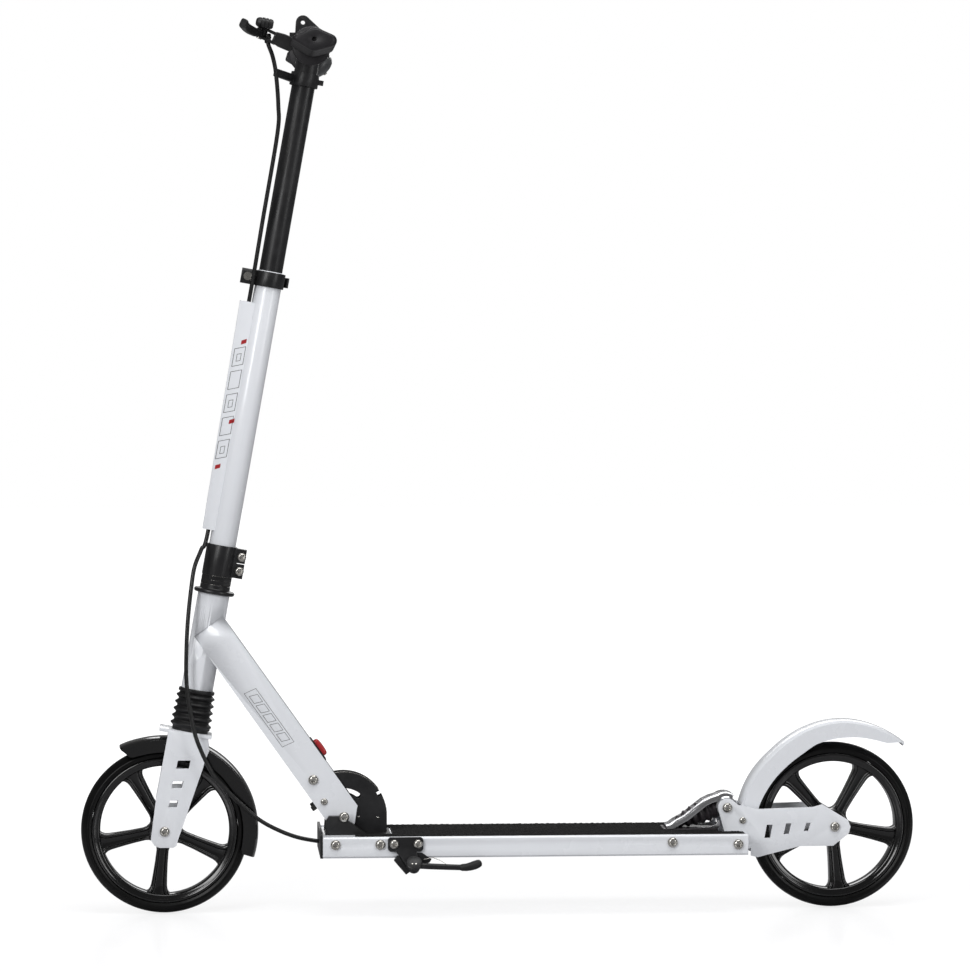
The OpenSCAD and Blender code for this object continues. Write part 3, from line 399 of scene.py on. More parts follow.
# %% Mix the finishes
FINISH = {
    "white_paint": finish("white_powder_coat", (0.865, 0.885, 0.925), (0.82, 0.84, 0.88), 0.24, 0.42,
                          coat=0.35, skin=(900, 0.000012), wear=(9, 0.5)),
    "black_paint": finish("black_enamel", (0.012, 0.012, 0.013), (0.03, 0.03, 0.032), 0.32, 0.5,
                          skin=(1400, 0.00002), wear=(30, 0.6), specular=0.4),
    "black_plastic": finish("moulded_black", (0.006, 0.006, 0.0065), (0.018, 0.018, 0.019), 0.38, 0.62,
                            skin=(1100, 0.00004), wear=(40, 0.6)),
    "gloss_black": finish("glossy_nylon", (0.002, 0.002, 0.0022), (0.005, 0.005, 0.005), 0.13, 0.3,
                          coat=0.4, skin=(260, 0.00002), wear=(16, 0.5)),
    "tyre_black": finish("cast_polyurethane", (0.002, 0.002, 0.002), (0.006, 0.006, 0.006), 0.3, 0.48,
                         skin=(420, 0.00003), wear=(22, 0.7), specular=0.2),
    "rubber_black": finish("soft_rubber", (0.004, 0.004, 0.0045), (0.012, 0.012, 0.012), 0.5, 0.7,
                           skin=(800, 0.00004), wear=(35, 0.7)),
    "grip_black": finish("grip_rubber", (0.014, 0.013, 0.015), (0.032, 0.03, 0.033), 0.42, 0.6,
                         skin=(1600, 0.00006), wear=(30, 0.6), specular=0.35),
    "grip_tape": finish("deck_grit", (0.008, 0.008, 0.008), (0.035, 0.035, 0.036), 0.7, 0.9,
                        skin=(2600, 0.0002), wear=(260, 0.8), specular=0.15),
    "steel": finish("zinc_plate", (0.60, 0.585, 0.55), (0.42, 0.40, 0.37), 0.2, 0.42, metal=1.0,
                    skin=(700, 0.00002), wear=(120, 0.8)),
    "aluminium": finish("polished_aluminium", (0.72, 0.72, 0.74), (0.5, 0.5, 0.52), 0.16, 0.36,
                        metal=1.0, skin=(140, 0.00001), wear=(60, 0.7)),
    "red_plastic": finish("red_button", (0.42, 0.018, 0.022), (0.33, 0.02, 0.024), 0.28, 0.45,
                          skin=(900, 0.00002), wear=(80, 0.4)),
    "bell_grey": finish("bell_enamel", (0.075, 0.078, 0.08), (0.11, 0.11, 0.11), 0.35, 0.5,
                        metal=0.3, skin=(900, 0.00002), wear=(60, 0.5)),
    "cable_black": finish("cable_sheath", (0.005, 0.005, 0.005), (0.012, 0.012, 0.012), 0.3, 0.42,
                          skin=(1500, 0.00001), wear=(60, 0.5)),
    "shock_grey": finish("shock_rubber", (0.035, 0.030, 0.034), (0.08, 0.07, 0.078), 0.35, 0.55,
                         skin=(600, 0.00004), wear=(60, 0.7)),
}
for node, piece in frame["nodes"].items():
    for slot in piece.material_slots:
        slot.link = "OBJECT"
        slot.material = FINISH[SLOT_OF[node]]
print(len(FINISH), "finishes on", len(frame["nodes"]), "parts")

# %% [markdown]
# ## Putting a piece in place
# Every new piece goes through the same last steps: it takes a finish, rides on a body, and says
# which plain part it stands for.

# %% Helpers for every piece
def add(name, mesh, body, slot, replaces=()):
    piece = bpy.data.objects.new(name, mesh)
    bpy.context.collection.objects.link(piece)
    mesh.materials.clear()
    mesh.materials.append(FINISH[slot])
    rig.slot(piece, slot)
    if body:
        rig.ride(piece, body)
    if replaces:
        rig.replaces(piece, *replaces)
    return piece


def mesh_from(name, points, faces, crease=40, recalculate=True):
    mesh = bpy.data.meshes.new(name)
    mesh.from_pydata([tuple(point) for point in points], [], faces)
    work = bmesh.new()
    work.from_mesh(mesh)
    bmesh.ops.remove_doubles(work, verts=work.verts, dist=1e-7)
    if recalculate:
        bmesh.ops.recalc_face_normals(work, faces=work.faces)
    work.to_mesh(mesh)
    work.free()
    mesh.shade_smooth()
    mesh.set_sharp_from_angle(angle=math.radians(crease))
    return mesh


def bevel(piece, width, steps=3, angle=34):
    edge = piece.modifiers.new("eased_edges", "BEVEL")
    edge.width = mm(width)
    edge.segments = steps
    edge.limit_method = "ANGLE"
    edge.angle_limit = math.radians(angle)
    edge.harden_normals = True
    return piece


def turned(profile, origin, axis, sides=64, closed=False):
    """Points and faces of a profile of (radius, height) pairs, turned about an axis."""
    turn = axes(axis, Vector((0.31, 0.17, 0.93)) if abs(axis.z) < 0.9 else Vector((1, 0, 0)))
    points, rows, faces = [], [], []
    for radius, height in profile:
        count = 1 if radius < 1e-6 else sides
        rows.append(range(len(points), len(points) + count))
        for k in range(count):
            angle = 2 * math.pi * k / sides
            points.append(origin + turn @ mm(radius * math.cos(angle), radius * math.sin(angle), height))
    pairs = list(zip(rows, rows[1:])) + ([(rows[-1], rows[0])] if closed else [])
    for low, high in pairs:
        for k in range(sides):
            ring = [low[k % len(low)], low[(k + 1) % len(low)], high[(k + 1) % len(high)],
                    high[k % len(high)]]
            face = list(dict.fromkeys(ring))
            if len(face) > 2:
                faces.append(face)
    return points, faces


def add_turned(name, profile, origin, axis, body, slot, sides=64, closed=False, replaces=(), crease=40):
    return add(name, mesh_from(name, *turned(profile, origin, axis, sides, closed), crease), body, slot,
               replaces)


def extruded(outline, y0, y1):
    """A side outline of (x, z) pairs in metres, given thickness across the scooter."""
    count = len(outline)
    points = [Vector((x, mm(y), z)) for y in (y0, y1) for x, z in outline]
    faces = [list(range(count)), list(range(2 * count - 1, count - 1, -1))]
    faces += [[k, (k + 1) % count, (k + 1) % count + count, k + count] for k in range(count)]
    return points, faces


def dressed(node, width=0.8, steps=3, suffix="made"):
    """A copy of a part with eased edges, which stands for it."""
    mesh = frame["nodes"][node].data.copy()
    work = bmesh.new()
    work.from_mesh(mesh)
    bmesh.ops.remove_doubles(work, verts=work.verts, dist=2e-6)
    bmesh.ops.dissolve_limit(work, angle_limit=math.radians(0.5), verts=work.verts, edges=work.edges)
    work.to_mesh(mesh)
    work.free()
    mesh.shade_smooth()
    piece = add(f"{node}_{suffix}", mesh, BODY_OF[node], SLOT_OF[node], [node])
    return bevel(piece, width, steps)


def baked(piece):
    """Turns what the modifiers make into the piece's own plain mesh."""
    graph = bpy.context.evaluated_depsgraph_get()
    mesh = bpy.data.meshes.new_from_object(piece.evaluated_get(graph))
    piece.modifiers.clear()
    piece.data = mesh
    return piece


print("helpers ready")

# %% [markdown]
# ## The brake cable
# The cable leaves the lever, drops through a clip into the guard on the stem, and comes out below
# to reach the deck in one long curve. Each stretch keeps its listed points, joined by a smooth
# spline, so its length and its bends are the real ones. It is cut into stretches where the scooter
# moves, and each bends between the two bodies that it joins.

# %% Route the cable
UPPER_ROUTE = [
    (-279, -62, 1044), (-278, -63, 1034), (-273, -62, 1020), (-269, -58, 1000),
    (-266, -46, 963), (-267, -38, 930), (-284, -25, 830), (-294, -18, 770), (-301, -5, 729.8)]
LOWER_ROUTE = [
    (-301, -5, 729), (-326, -5, 593), (-350, -5, 457), (-358, -11, 436), (-366, -18, 416),
    (-370, -24, 392), (-374, -29, 355), (-376, -32, 318), (-376, -34, 279), (-371, -37, 241),
    (-363, -40, 208), (-345, -42, 170), (-328, -42, 150), (-310, -40, 132), (-289, -36, 114),
    (-266, -32, 101), (-243, -28, 92), (-218.8, -25, 87)]
CABLE_DIAMETER = 5.0
SPLIT = 9


def smooth(route, steps):
    points = []
    last = len(route) - 1
    for i in range(last):
        a, b, c, d = (Vector(route[min(last, max(0, i + k))]) for k in (-1, 0, 1, 2))
        for k in range(steps):
            t = k / steps
            points.append(0.5 * (2 * b + (c - a) * t + (2 * a - 5 * b + 4 * c - d) * t ** 2
                                 + (3 * b - 3 * c + d - a) * t ** 3))
    return [mm(*point) for point in points + [Vector(route[-1])]]


def swept(path, radius, sides=20):
    """A round tube that follows a path, closed at both ends."""
    points, faces = [], []
    side = Y_AXIS
    for i, point in enumerate(path):
        heading = (path[min(i + 1, len(path) - 1)] - path[max(i - 1, 0)]).normalized()
        side = (side - heading * side.dot(heading)).normalized()
        other = heading.cross(side)
        size = radius[i] if isinstance(radius, list) else radius
        for k in range(sides):
            angle = 2 * math.pi * k / sides
            points.append(point + mm(size) * (side * math.cos(angle) + other * math.sin(angle)))
    for i in range(len(path) - 1):
        for k in range(sides):
            a, b = i * sides + k, i * sides + (k + 1) % sides
            faces.append([a, b, b + sides, a + sides])
    faces.append(list(range(sides))[::-1])
    faces.append([(len(path) - 1) * sides + k for k in range(sides)])
    return points, faces


def length_of(path):
    return sum((b - a).length for a, b in zip(path, path[1:]))


def cable(name, path, stands_for):
    mesh = mesh_from(name, *swept(path, CABLE_DIAMETER / 2))
    piece = add(name, mesh, None, "cable_black", stands_for)
    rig.cord(piece, exit=path[0], length=length_of(path), diameter=mm(CABLE_DIAMETER), far_end="object",
            stiffness="stiff", lay="loose", path=path)
    print(name, round(length_of(path) * 1000), "mm")
    return piece


upper = smooth(UPPER_ROUTE, 8)
lower = smooth(LOWER_ROUTE, 8)
split_at = SPLIT * 8
upper_cable = cable("brake_cable_to_guard", upper, ["brake_cable_upper"])
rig.blend(upper_cable, "column", "stem", start=upper[8 * 4], end=upper[-1])
middle_cable = cable("brake_cable_past_head", lower[:split_at + 1], ["brake_cable_lower"])
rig.blend(middle_cable, "stem", "neck", start=lower[8 * 2], end=lower[split_at])
front_cable = cable("brake_cable_to_deck", lower[split_at:], ["brake_cable_lower"])
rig.blend(front_cable, "neck", "deck", start=lower[split_at], end=lower[-1])
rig.slot(upper_cable, "cable_black")

# %% [markdown]
# ## The studio
# A pale sweep and big soft lights: a broad one overhead, one from the camera's side and strips at
# the ends that draw the long white highlights on the black wheels. The floor is slightly glossy. It
# glows a little less near the wheels, which leaves room for a soft shadow, and fully further away,
# where it has to meet the white sky without a line.

# %% Light the studio
def softbox(name, location, target, size, power, colour=(1, 1, 1)):
    data = bpy.data.lights.new(name, "AREA")
    data.shape = "RECTANGLE"
    data.size, data.size_y = size
    data.energy = power
    data.color = colour
    lamp = bpy.data.objects.new(name, data)
    lamp.location = location
    lamp.rotation_euler = (Vector(target) - Vector(location)).to_track_quat("-Z", "Y").to_euler()
    bpy.context.collection.objects.link(lamp)
    return lamp


softbox("overhead", (0.2, -0.8, 3.0), (0, 0, 0.4), (2.6, 1.4), 38)
softbox("key", (-2.2, -3.2, 1.9), (0, 0, 0.5), (1.2, 2.2), 58)
softbox("fill", (2.6, -2.8, 1.2), (0, 0, 0.4), (0.8, 2.0), 22)
softbox("rim", (0.5, 3.0, 1.8), (0, 0, 0.5), (2.5, 1.4), 26)


def white_for_camera(tree, background, seen, lighting):
    """White where it is seen, dimmer in what it lights, and dimmest in what mirrors it."""
    path = tree.nodes.new("ShaderNodeLightPath")
    mirrored = tree.nodes.new("ShaderNodeMapRange")
    mirrored.inputs["To Min"].default_value = lighting
    mirrored.inputs["To Max"].default_value = lighting * 0.4
    strength = tree.nodes.new("ShaderNodeMapRange")
    strength.inputs["To Max"].default_value = seen
    tree.links.new(path.outputs["Is Glossy Ray"], mirrored.inputs["Value"])
    tree.links.new(mirrored.outputs["Result"], strength.inputs["To Min"])
    tree.links.new(path.outputs["Is Camera Ray"], strength.inputs["Value"])
    tree.links.new(strength.outputs["Result"], background)
    return strength


def studio_white(name):
    material = bpy.data.materials.new(name)
    material.use_nodes = True
    tree = material.node_tree
    shader = tree.nodes["Principled BSDF"]
    shader.inputs["Base Color"].default_value = (0.4, 0.4, 0.41, 1)
    shader.inputs["Roughness"].default_value = 0.18
    shader.inputs["Emission Color"].default_value = (1, 1, 1, 1)
    lit = white_for_camera(tree, shader.inputs["Emission Strength"], 1.0, 0.0)
    coordinates = tree.nodes.new("ShaderNodeTexCoord")
    distance = tree.nodes.new("ShaderNodeVectorMath")
    distance.operation = "LENGTH"
    near = tree.nodes.new("ShaderNodeMapRange")
    near.interpolation_type = "SMOOTHSTEP"
    near.inputs["From Min"].default_value = 0.6
    near.inputs["From Max"].default_value = 1.5
    near.inputs["To Min"].default_value = 0.74
    near.inputs["To Max"].default_value = 1.0
    tree.links.new(coordinates.outputs["Object"], distance.inputs["Vector"])
    tree.links.new(distance.outputs["Value"], near.inputs["Value"])
    tree.links.new(near.outputs["Result"], lit.inputs["To Max"])
    return material


floor_mesh = bpy.data.meshes.new("studio_floor")
floor_mesh.from_pydata([(-12, -12, 0), (12, -12, 0), (12, 12, 0), (-12, 12, 0)], [], [[0, 1, 2, 3]])
floor_mesh.materials.append(studio_white("studio_floor_white"))
floor = bpy.data.objects.new("studio_floor", floor_mesh)
bpy.context.collection.objects.link(floor)
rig.stage(floor)
world = bpy.data.worlds.new("studio_world")
world.use_nodes = True
world.node_tree.nodes["Background"].inputs["Color"].default_value = (1, 1, 1, 1)
white_for_camera(world.node_tree, world.node_tree.nodes["Background"].inputs["Strength"], 1.0, 0.36)
bpy.context.scene.world = world
bpy.context.scene.view_settings.view_transform = "Standard"
print("studio lit")

# %% [markdown]
# ## A helper for Geometry Nodes
# Whatever repeats on the scooter, such as spokes, screws and studs, is made once and placed many
# times by a small node tree. The tree ends in Realize Instances and Set Material, and its result is
# baked to a plain mesh, because the working parts want real faces.

# %% Build a tree that places copies
def copies_tree(name):
    """Places one shape on every point of the mesh it is given, turned to face along `facing`."""
    tree = bpy.data.node_groups.new(name, "GeometryNodeTree")
    for label, kind in (("Geometry", "NodeSocketGeometry"), ("Shape", "NodeSocketObject"),
                        ("Finish", "NodeSocketMaterial"), ("Spin", "NodeSocketFloat")):
        tree.interface.new_socket(name=label, in_out="INPUT", socket_type=kind)
    tree.interface.new_socket(name="Geometry", in_out="OUTPUT", socket_type="NodeSocketGeometry")
    given = tree.nodes.new("NodeGroupInput")
    out = tree.nodes.new("NodeGroupOutput")
    shape = tree.nodes.new("GeometryNodeObjectInfo")
    facing = tree.nodes.new("GeometryNodeInputNamedAttribute")
    facing.data_type = "FLOAT_VECTOR"
    facing.inputs["Name"].default_value = "facing"
    across = tree.nodes.new("GeometryNodeInputNamedAttribute")
    across.data_type = "FLOAT_VECTOR"
    across.inputs["Name"].default_value = "across"
    size = tree.nodes.new("GeometryNodeInputNamedAttribute")
    size.data_type = "FLOAT_VECTOR"
    size.inputs["Name"].default_value = "size"
    turn = tree.nodes.new("FunctionNodeAxesToRotation")
    turn.primary_axis = "Z"
    turn.secondary_axis = "X"
    put = tree.nodes.new("GeometryNodeInstanceOnPoints")
    solid = tree.nodes.new("GeometryNodeRealizeInstances")
    paint = tree.nodes.new("GeometryNodeSetMaterial")
    link = tree.links.new
    link(given.outputs["Geometry"], put.inputs["Points"])
    link(given.outputs["Shape"], shape.inputs["Object"])
    link(shape.outputs["Geometry"], put.inputs["Instance"])
    link(facing.outputs["Attribute"], turn.inputs["Primary Axis"])
    link(across.outputs["Attribute"], turn.inputs["Secondary Axis"])
    link(turn.outputs["Rotation"], put.inputs["Rotation"])
    link(size.outputs["Attribute"], put.inputs["Scale"])
    link(put.outputs["Instances"], solid.inputs["Geometry"])
    link(solid.outputs["Geometry"], paint.inputs["Geometry"])
    link(given.outputs["Finish"], paint.inputs["Material"])
    link(paint.outputs["Geometry"], out.inputs["Geometry"])
    return tree


COPIES = copies_tree("copies_on_points")
INPUT = {item.name: item.identifier for item in COPIES.interface.items_tree if item.in_out == "INPUT"}


def copies(name, shape, spots, body, slot, replaces=()):
    """spots are (place, facing, across, size) in metres: the shape's own Z and X go to facing and across."""
    mesh = bpy.data.meshes.new(name)
    mesh.from_pydata([tuple(spot[0]) for spot in spots], [], [])
    for label, index in (("facing", 1), ("across", 2), ("size", 3)):
        values = mesh.attributes.new(label, "FLOAT_VECTOR", "POINT")
        for k, spot in enumerate(spots):
            values.data[k].vector = spot[index]
    piece = bpy.data.objects.new(name, mesh)
    bpy.context.collection.objects.link(piece)
    nodes = piece.modifiers.new("copies", "NODES")
    nodes.node_group = COPIES
    nodes[INPUT["Shape"]] = shape
    nodes[INPUT["Finish"]] = FINISH[slot]
    baked(piece)
    mesh = piece.data
    for label in ("facing", "across", "size"):
        if label in mesh.attributes:
            mesh.attributes.remove(mesh.attributes[label])
    if not mesh.materials:
        mesh.materials.append(FINISH[slot])
    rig.slot(piece, slot)
    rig.ride(piece, body)
    if replaces:
        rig.replaces(piece, *replaces)
    return piece


def pattern(name, mesh):
    """A shape that is only placed by copies(), and is removed when the copies are made."""
    shape = bpy.data.objects.new(name, mesh)
    bpy.context.collection.objects.link(shape)
    return shape


def discard(shape):
    bpy.data.objects.remove(shape)


print("tree:", COPIES.name, "with inputs", ", ".join(INPUT))

# %% [markdown]
# ## Wheels
# Each wheel is one glossy nylon moulding with five spokes, inside a cast polyurethane tyre. The rim
# and the hub are turned shapes. A spoke is lofted through cross-sections that flare at both ends,
# so it runs into the rim with a fillet, and a shallow trough leaves a raised rib along each edge.

# %% Turn the rims and loft the spokes
TYRE_IN = 87.5
RIM_PROFILE = [
    (86.6, -13.3), (85.4, -14.0), (83.6, -13.9), (82.6, -13.0), (81.6, -12.6), (79.2, -12.2),
    (77.6, -11.2), (77.0, -9.6), (76.8, 0), (77.0, 9.6), (77.6, 11.2), (79.2, 12.2), (81.6, 12.6),
    (82.6, 13.0), (83.6, 13.9), (85.4, 14.0), (86.6, 13.3), (87.45, 12.0), (87.45, -12.0)]
HUB_PROFILE = [
    (6.2, -14.9), (11.1, -14.9), (11.1, -8.2), (11.6, -8.0), (11.6, -14.6), (12.2, -15.0), (17.6, -15.0),
    (18.8, -14.2), (19.4, -12.0), (19.9, 0), (19.4, 12.0), (18.8, 14.2), (17.6, 15.0), (12.2, 15.0),
    (11.6, 14.6), (11.6, 8.0), (11.1, 8.2), (11.1, 14.9), (6.2, 14.9)]
SPOKE_LOFT = [
    (15, 11.5, 9.6), (18.5, 9.4, 9.4), (21, 8.0, 9.1), (25, 7.3, 8.9), (40, 7.7, 8.7), (56, 8.7, 8.9),
    (67, 9.6, 9.2), (71, 10.5, 9.6), (74, 12.2, 10.2), (76.2, 14.8, 10.8), (77.6, 17.6, 11.0),
    (78.4, 18.5, 10.6)]
SPOKE_SECTION = [
    (1.0, 0.52), (0.985, 0.74), (0.93, 0.91), (0.84, 0.99), (0.74, 1.0), (0.64, 0.97), (0.56, 0.86),
    (0.50, 0.76), (0.42, 0.72), (0.0, 0.70)]


def spoke_mesh():
    right = SPOKE_SECTION
    top = right + [(-x, y) for x, y in reversed(right[:-1])]
    ring = top + [(x, -y) for x, y in reversed(top)]
    points, faces = [], []
    for radius, half, thick in SPOKE_LOFT:
        points += [mm(x * half, y * thick, radius) for x, y in ring]
    count = len(ring)
    for i in range(len(SPOKE_LOFT) - 1):
        for k in range(count):
            a, b = i * count + k, i * count + (k + 1) % count
            faces.append([a, b, b + count, a + count])
    faces.append(list(range(count)))
    faces.append([(len(SPOKE_LOFT) - 1) * count + k for k in range(count)])
    return mesh_from("spoke", points, faces, 50)


def tyre_profile():
    tread = [(TYRE_IN + 0.1, -13.2), (89.6, -14.3), (91.5, -14.9), (93.2, -14.5)]
    arc = [(85.0 + 15.0 * math.cos(math.radians(a)), 15.0 * math.sin(math.radians(a)))
           for a in range(-64, 65, 8)]
    mirror = [(radius, -y) for radius, y in reversed(tread)]
    return tread + [p for p in arc if p[0] > 93.5] + mirror


def wheel(name, centre, start, body):
    spokes = 5
    shape = pattern("one_spoke", spoke_mesh())
    spots = []
    for k in range(spokes):
        angle = math.radians(start + k * 360 / spokes)
        out = Vector((math.cos(angle), 0, math.sin(angle)))
        spots.append((centre, out, Vector((-out.z, 0, out.x)), Vector((1, 1, 1))))
    copies(f"{name}_spokes", shape, spots, body, "gloss_black", [f"{name}_rim"])
    discard(shape)
    add_turned(f"{name}_rim_band", RIM_PROFILE, centre, Y_AXIS, body, "gloss_black", 144, True,
               [f"{name}_rim"], 60)
    add_turned(f"{name}_hub", HUB_PROFILE, centre, Y_AXIS, body, "gloss_black", 64, True, [f"{name}_rim"],
               50)
    add_turned(f"{name}_tyre_cast", tyre_profile(), centre, Y_AXIS, body, "tyre_black", 160, True,
               [f"{name}_tyre"], 60)
    print(name, "wheel:", spokes, "spokes")


wheel("front", FRONT, -96, "front_wheel")
wheel("rear", REAR, -12, "rear_wheel")

# %% [markdown]
# ## Screws
# All the screws are the same kind: a domed, plated head with a six-lobed socket. One head is
# modelled at a radius of 1 mm and placed at each screw by the tree, scaled to its real radius.

# %% Model one screw head
def screw_head_mesh(around=48):
    rings = [(0.10, -0.9, 0), (1.0, 0.0, 0), (1.0, 0.22, 0), (0.97, 0.32, 0), (0.86, 0.48, 0),
             (0.7, 0.6, 0),
             (0.56, 0.66, 0), (0.50, 0.65, 0.10), (0.47, 0.60, 0.13), (0.45, 0.16, 0.13), (0.20, 0.12, 0.1)]
    points = [Vector((0, 0, -0.9))]
    for radius, height, lobes in rings[1:]:
        for k in range(around):
            angle = 2 * math.pi * k / around
            r = radius * (1 + lobes * math.cos(6 * angle))
            points.append(Vector((r * math.cos(angle), r * math.sin(angle), height)))
    faces = [[0, 1 + (k + 1) % around, 1 + k] for k in range(around)]
    for i in range(len(rings) - 2):
        for k in range(around):
            a, b = 1 + i * around + k, 1 + i * around + (k + 1) % around
            faces.append([a, b, b + around, a + around])
    last = 1 + (len(rings) - 2) * around
    faces.append([last + k for k in range(around)])
    return mesh_from("screw_head", points, faces, 34)


SCREW = pattern("one_screw", screw_head_mesh())


def screw(centre, facing, radius, flat=1.0):
    across = Vector((0.94, 0.0, 0.34)) if abs(facing.y) > 0.5 else Vector((0, 1, 0))
    r = mm(radius)
    return (centre, facing, across, Vector((r, r, r * flat)))


def pair(x, z, y, radius, flat=1.0):
    """The same screw at both sides of the scooter."""
    return [screw(Vector((x, side * mm(y), z)), Y_AXIS * side, radius, flat) for side in (-1, 1)]


def shafts(name, runs, body, slot, replaces):
    """Plain shafts along Y: (x, z, half length, radius)."""
    points, faces = [], []
    for x, z, half, radius in runs:
        start = len(points)
        more, sides = turned([(0, -half), (radius, -half), (radius, half), (0, half)],
                             Vector((x, 0, z)), Y_AXIS, 40)
        points += more
        faces += [[start + k for k in face] for face in sides]
    return add(name, mesh_from(name, points, faces), body, slot, replaces)


DECK_LOW, DECK_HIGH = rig.box("deck_shell")
HALF_DECK = DECK_HIGH.y * 1000
SIDE_SCREW_Z = DECK_LOW.z + mm(16)
PIVOT_ARM = place("rear_shock")
EAR = PIVOT_ARM + mm(-9, 0, 40)
SMALL = place("foot_brake_press")
STAND = place("stand_swing")
ARM_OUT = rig.box("swingarm")[1].y * 1000
FORK_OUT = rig.box("fork")[1].y * 1000

deck_screws = []
for x in (DECK_LOW.x + mm(15), DECK_LOW.x + mm(68), DECK_HIGH.x - mm(91)):
    deck_screws += pair(x, SIDE_SCREW_Z, HALF_DECK, 6.1)
deck_screws += pair(PIVOT_ARM.x, PIVOT_ARM.z, HALF_DECK, 6.1)
for x in (-23, 5.1):
    deck_screws.append(screw(Vector((STAND.x + mm(x), -mm(HALF_DECK + 4), DECK_LOW.z + mm(17))), -Y_AXIS,
                             5.6))
copies("deck_screw_heads", SCREW, deck_screws, "deck", "steel", ["deck_bolts"])
shafts("rear_pivot_shaft", [(PIVOT_ARM.x, PIVOT_ARM.z, HALF_DECK, 4)], "deck", "steel", ["deck_bolts"])
copies("fold_screw_heads", SCREW, pair(FOLD.x, FOLD.z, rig.box("fold_clevis")[1].y * 1000, 6.2), "deck",
       "steel", ["fold_bolt"])
shafts("fold_shaft", [(FOLD.x, FOLD.z, 31, 4)], "deck", "steel", ["fold_bolt"])
PAWL = place("pawl_turn")
GUIDE = on_neck(27.5, -9.2)
copies("neck_screw_heads", SCREW, pair(PAWL.x, PAWL.z, 19.5, 6.2) + pair(GUIDE.x, GUIDE.z, 19.5, 4.3),
       "neck",
       "steel", ["neck_bolts"])
shafts("neck_shafts", [(PAWL.x, PAWL.z, 19, 3), (GUIDE.x, GUIDE.z, 19, 3)], "neck", "steel", ["neck_bolts"])
copies("arm_screw_heads", SCREW, pair(EAR.x, EAR.z, ARM_OUT, 6.0) + pair(SMALL.x, SMALL.z, ARM_OUT, 4.2),
       "rear_arm", "steel", ["arm_bolts"])
shafts("arm_shafts", [(EAR.x, EAR.z, ARM_OUT, 4), (SMALL.x, SMALL.z, ARM_OUT, 3)], "rear_arm", "steel",
       ["arm_bolts"])
for name, centre, out, body in (("front", FRONT, FORK_OUT, "fork"), ("rear", REAR, ARM_OUT, "rear_arm")):
    copies(f"{name}_axle_heads", SCREW, pair(centre.x, centre.z, out, 6.0), body, "steel", [f"{name}_axle"])
    shafts(f"{name}_axle_shaft", [(centre.x, centre.z, out, 4)], body, "steel", [f"{name}_axle"])
    for side in (-1, 1):
        label = "left" if side < 0 else "right"
        add_turned(f"{name}_spacer_{label}", [(4.0, 15.3), (6.6, 15.3), (7, 15.7), (7, out - 4.2),
                                              (4.0, out - 4.2)],
                   centre, Y_AXIS * side, body, "steel", 40, True, [f"{name}_axle"])
CLAMP_S = 309
clamp_screws = [screw(on_steer(CLAMP_S + s, 25, side * 12.4), Y_AXIS * side, 5.4)
                for s in (10, 27) for side in (-1, 1)]
copies("clamp_screw_heads", SCREW, clamp_screws, "stem", "steel")
discard(SCREW)
print("screws in place")

# %% [markdown]
# ## Eased edges
# Sheet steel, castings and mouldings never have a knife edge. A copy of each such part gets a small
# round on its edges, which catches the light in a thin line, as on the real thing.

# %% Ease the edges of the plain parts
EASED = {
    "deck_shell": 1.2, "deck_front_plate": 0.8, "fold_clevis": 1.5, "fold_plates": 0.7,
    "kickstand_bracket": 1.0, 
    "latch_base": 0.4, "neck_bumper": 0.8, "lock_pawl": 0.5, "headset_nuts": 0.5,
    "lower_clamp": 0.9, "cable_guard": 0.9, "height_collar": 0.9, "quick_lever": 0.9,
    "column_tube": 0.4, "stem_tube": 0.6, "handlebar": 0.4, "strap_eye": 1.0, "cable_clip": 0.8,
    "bell_base": 0.6, "bell_hammer": 0.6, "fork": 0.6, "swingarm": 0.6,
    "brake_arm": 0.8, 
    
    }
for node, width in EASED.items():
    dressed(node, width)
print(len(EASED), "parts eased")

# %% [markdown]
# ## Fenders
# A fender is a sheet bent two ways: an arc round the wheel, and a rounded channel across it. Both
# are swept section by section. The outer radius and the skirt's edge are given at a few angles and
# joined by a smooth curve, which is how the tail lifts away from the wheel.

# %% Sweep the fenders
def along(table, angle):
    """A smooth value between the table's (angle, value) pairs."""
    last = len(table) - 1
    i = max(0, min(last - 1, next((k for k in range(last) if angle >= table[k + 1][0]), last - 1)))
    a, b, c, d = (table[min(last, max(0, i + k))][1] for k in (-1, 0, 1, 2))
    t = (table[i][0] - angle) / (table[i][0] - table[i + 1][0])
    t = min(1.0, max(0.0, t))
    return 0.5 * (2 * b + (c - a) * t + (2 * a - 5 * b + 4 * c - d) * t ** 2
                  + (3 * b - 3 * c + d - a) * t ** 3)


def fender_mesh(name, centre, crown, skirt, half, wall, round_off, steps=90):
    """crown and skirt are tables of (angle, radius), from the highest angle to the lowest."""
    high, low = crown[0][0], crown[-1][0]
    across = [math.sin(math.pi * k / 16 - math.pi / 2) for k in range(17)]
    points, faces = [], []
    for i in range(steps + 1):
        angle = high + (low - high) * i / steps
        top, edge = along(crown, angle), along(skirt, angle)
        section = [(half, edge), (half, top - round_off)]
        section += [(s * half * 0.995, top - round_off * abs(s) ** 4) for s in reversed(across)]
        section += [(-half, top - round_off), (-half, edge)]
        inner = [(max(-half + wall, min(half - wall, y)),
                  min(r, top - wall - round_off * abs(y / half) ** 4))
                 for y, r in reversed(section)]
        inner[0] = (inner[0][0], edge)
        inner[-1] = (inner[-1][0], edge)
        out = Vector((math.cos(math.radians(angle)), 0, math.sin(math.radians(angle))))
        points += [centre + out * mm(r) + Y_AXIS * mm(y) for y, r in section + inner]
    count = len(section) * 2
    for i in range(steps):
        for k in range(count):
            a, b = i * count + k, i * count + (k + 1) % count
            faces.append([a, b, b + count, a + count])
    half_count = len(section)
    for base in (0, steps * count):
        for k in range(half_count - 1):
            faces.append([base + k, base + k + 1, base + count - 2 - k, base + count - 1 - k])
    return mesh_from(name, points, faces, 32)


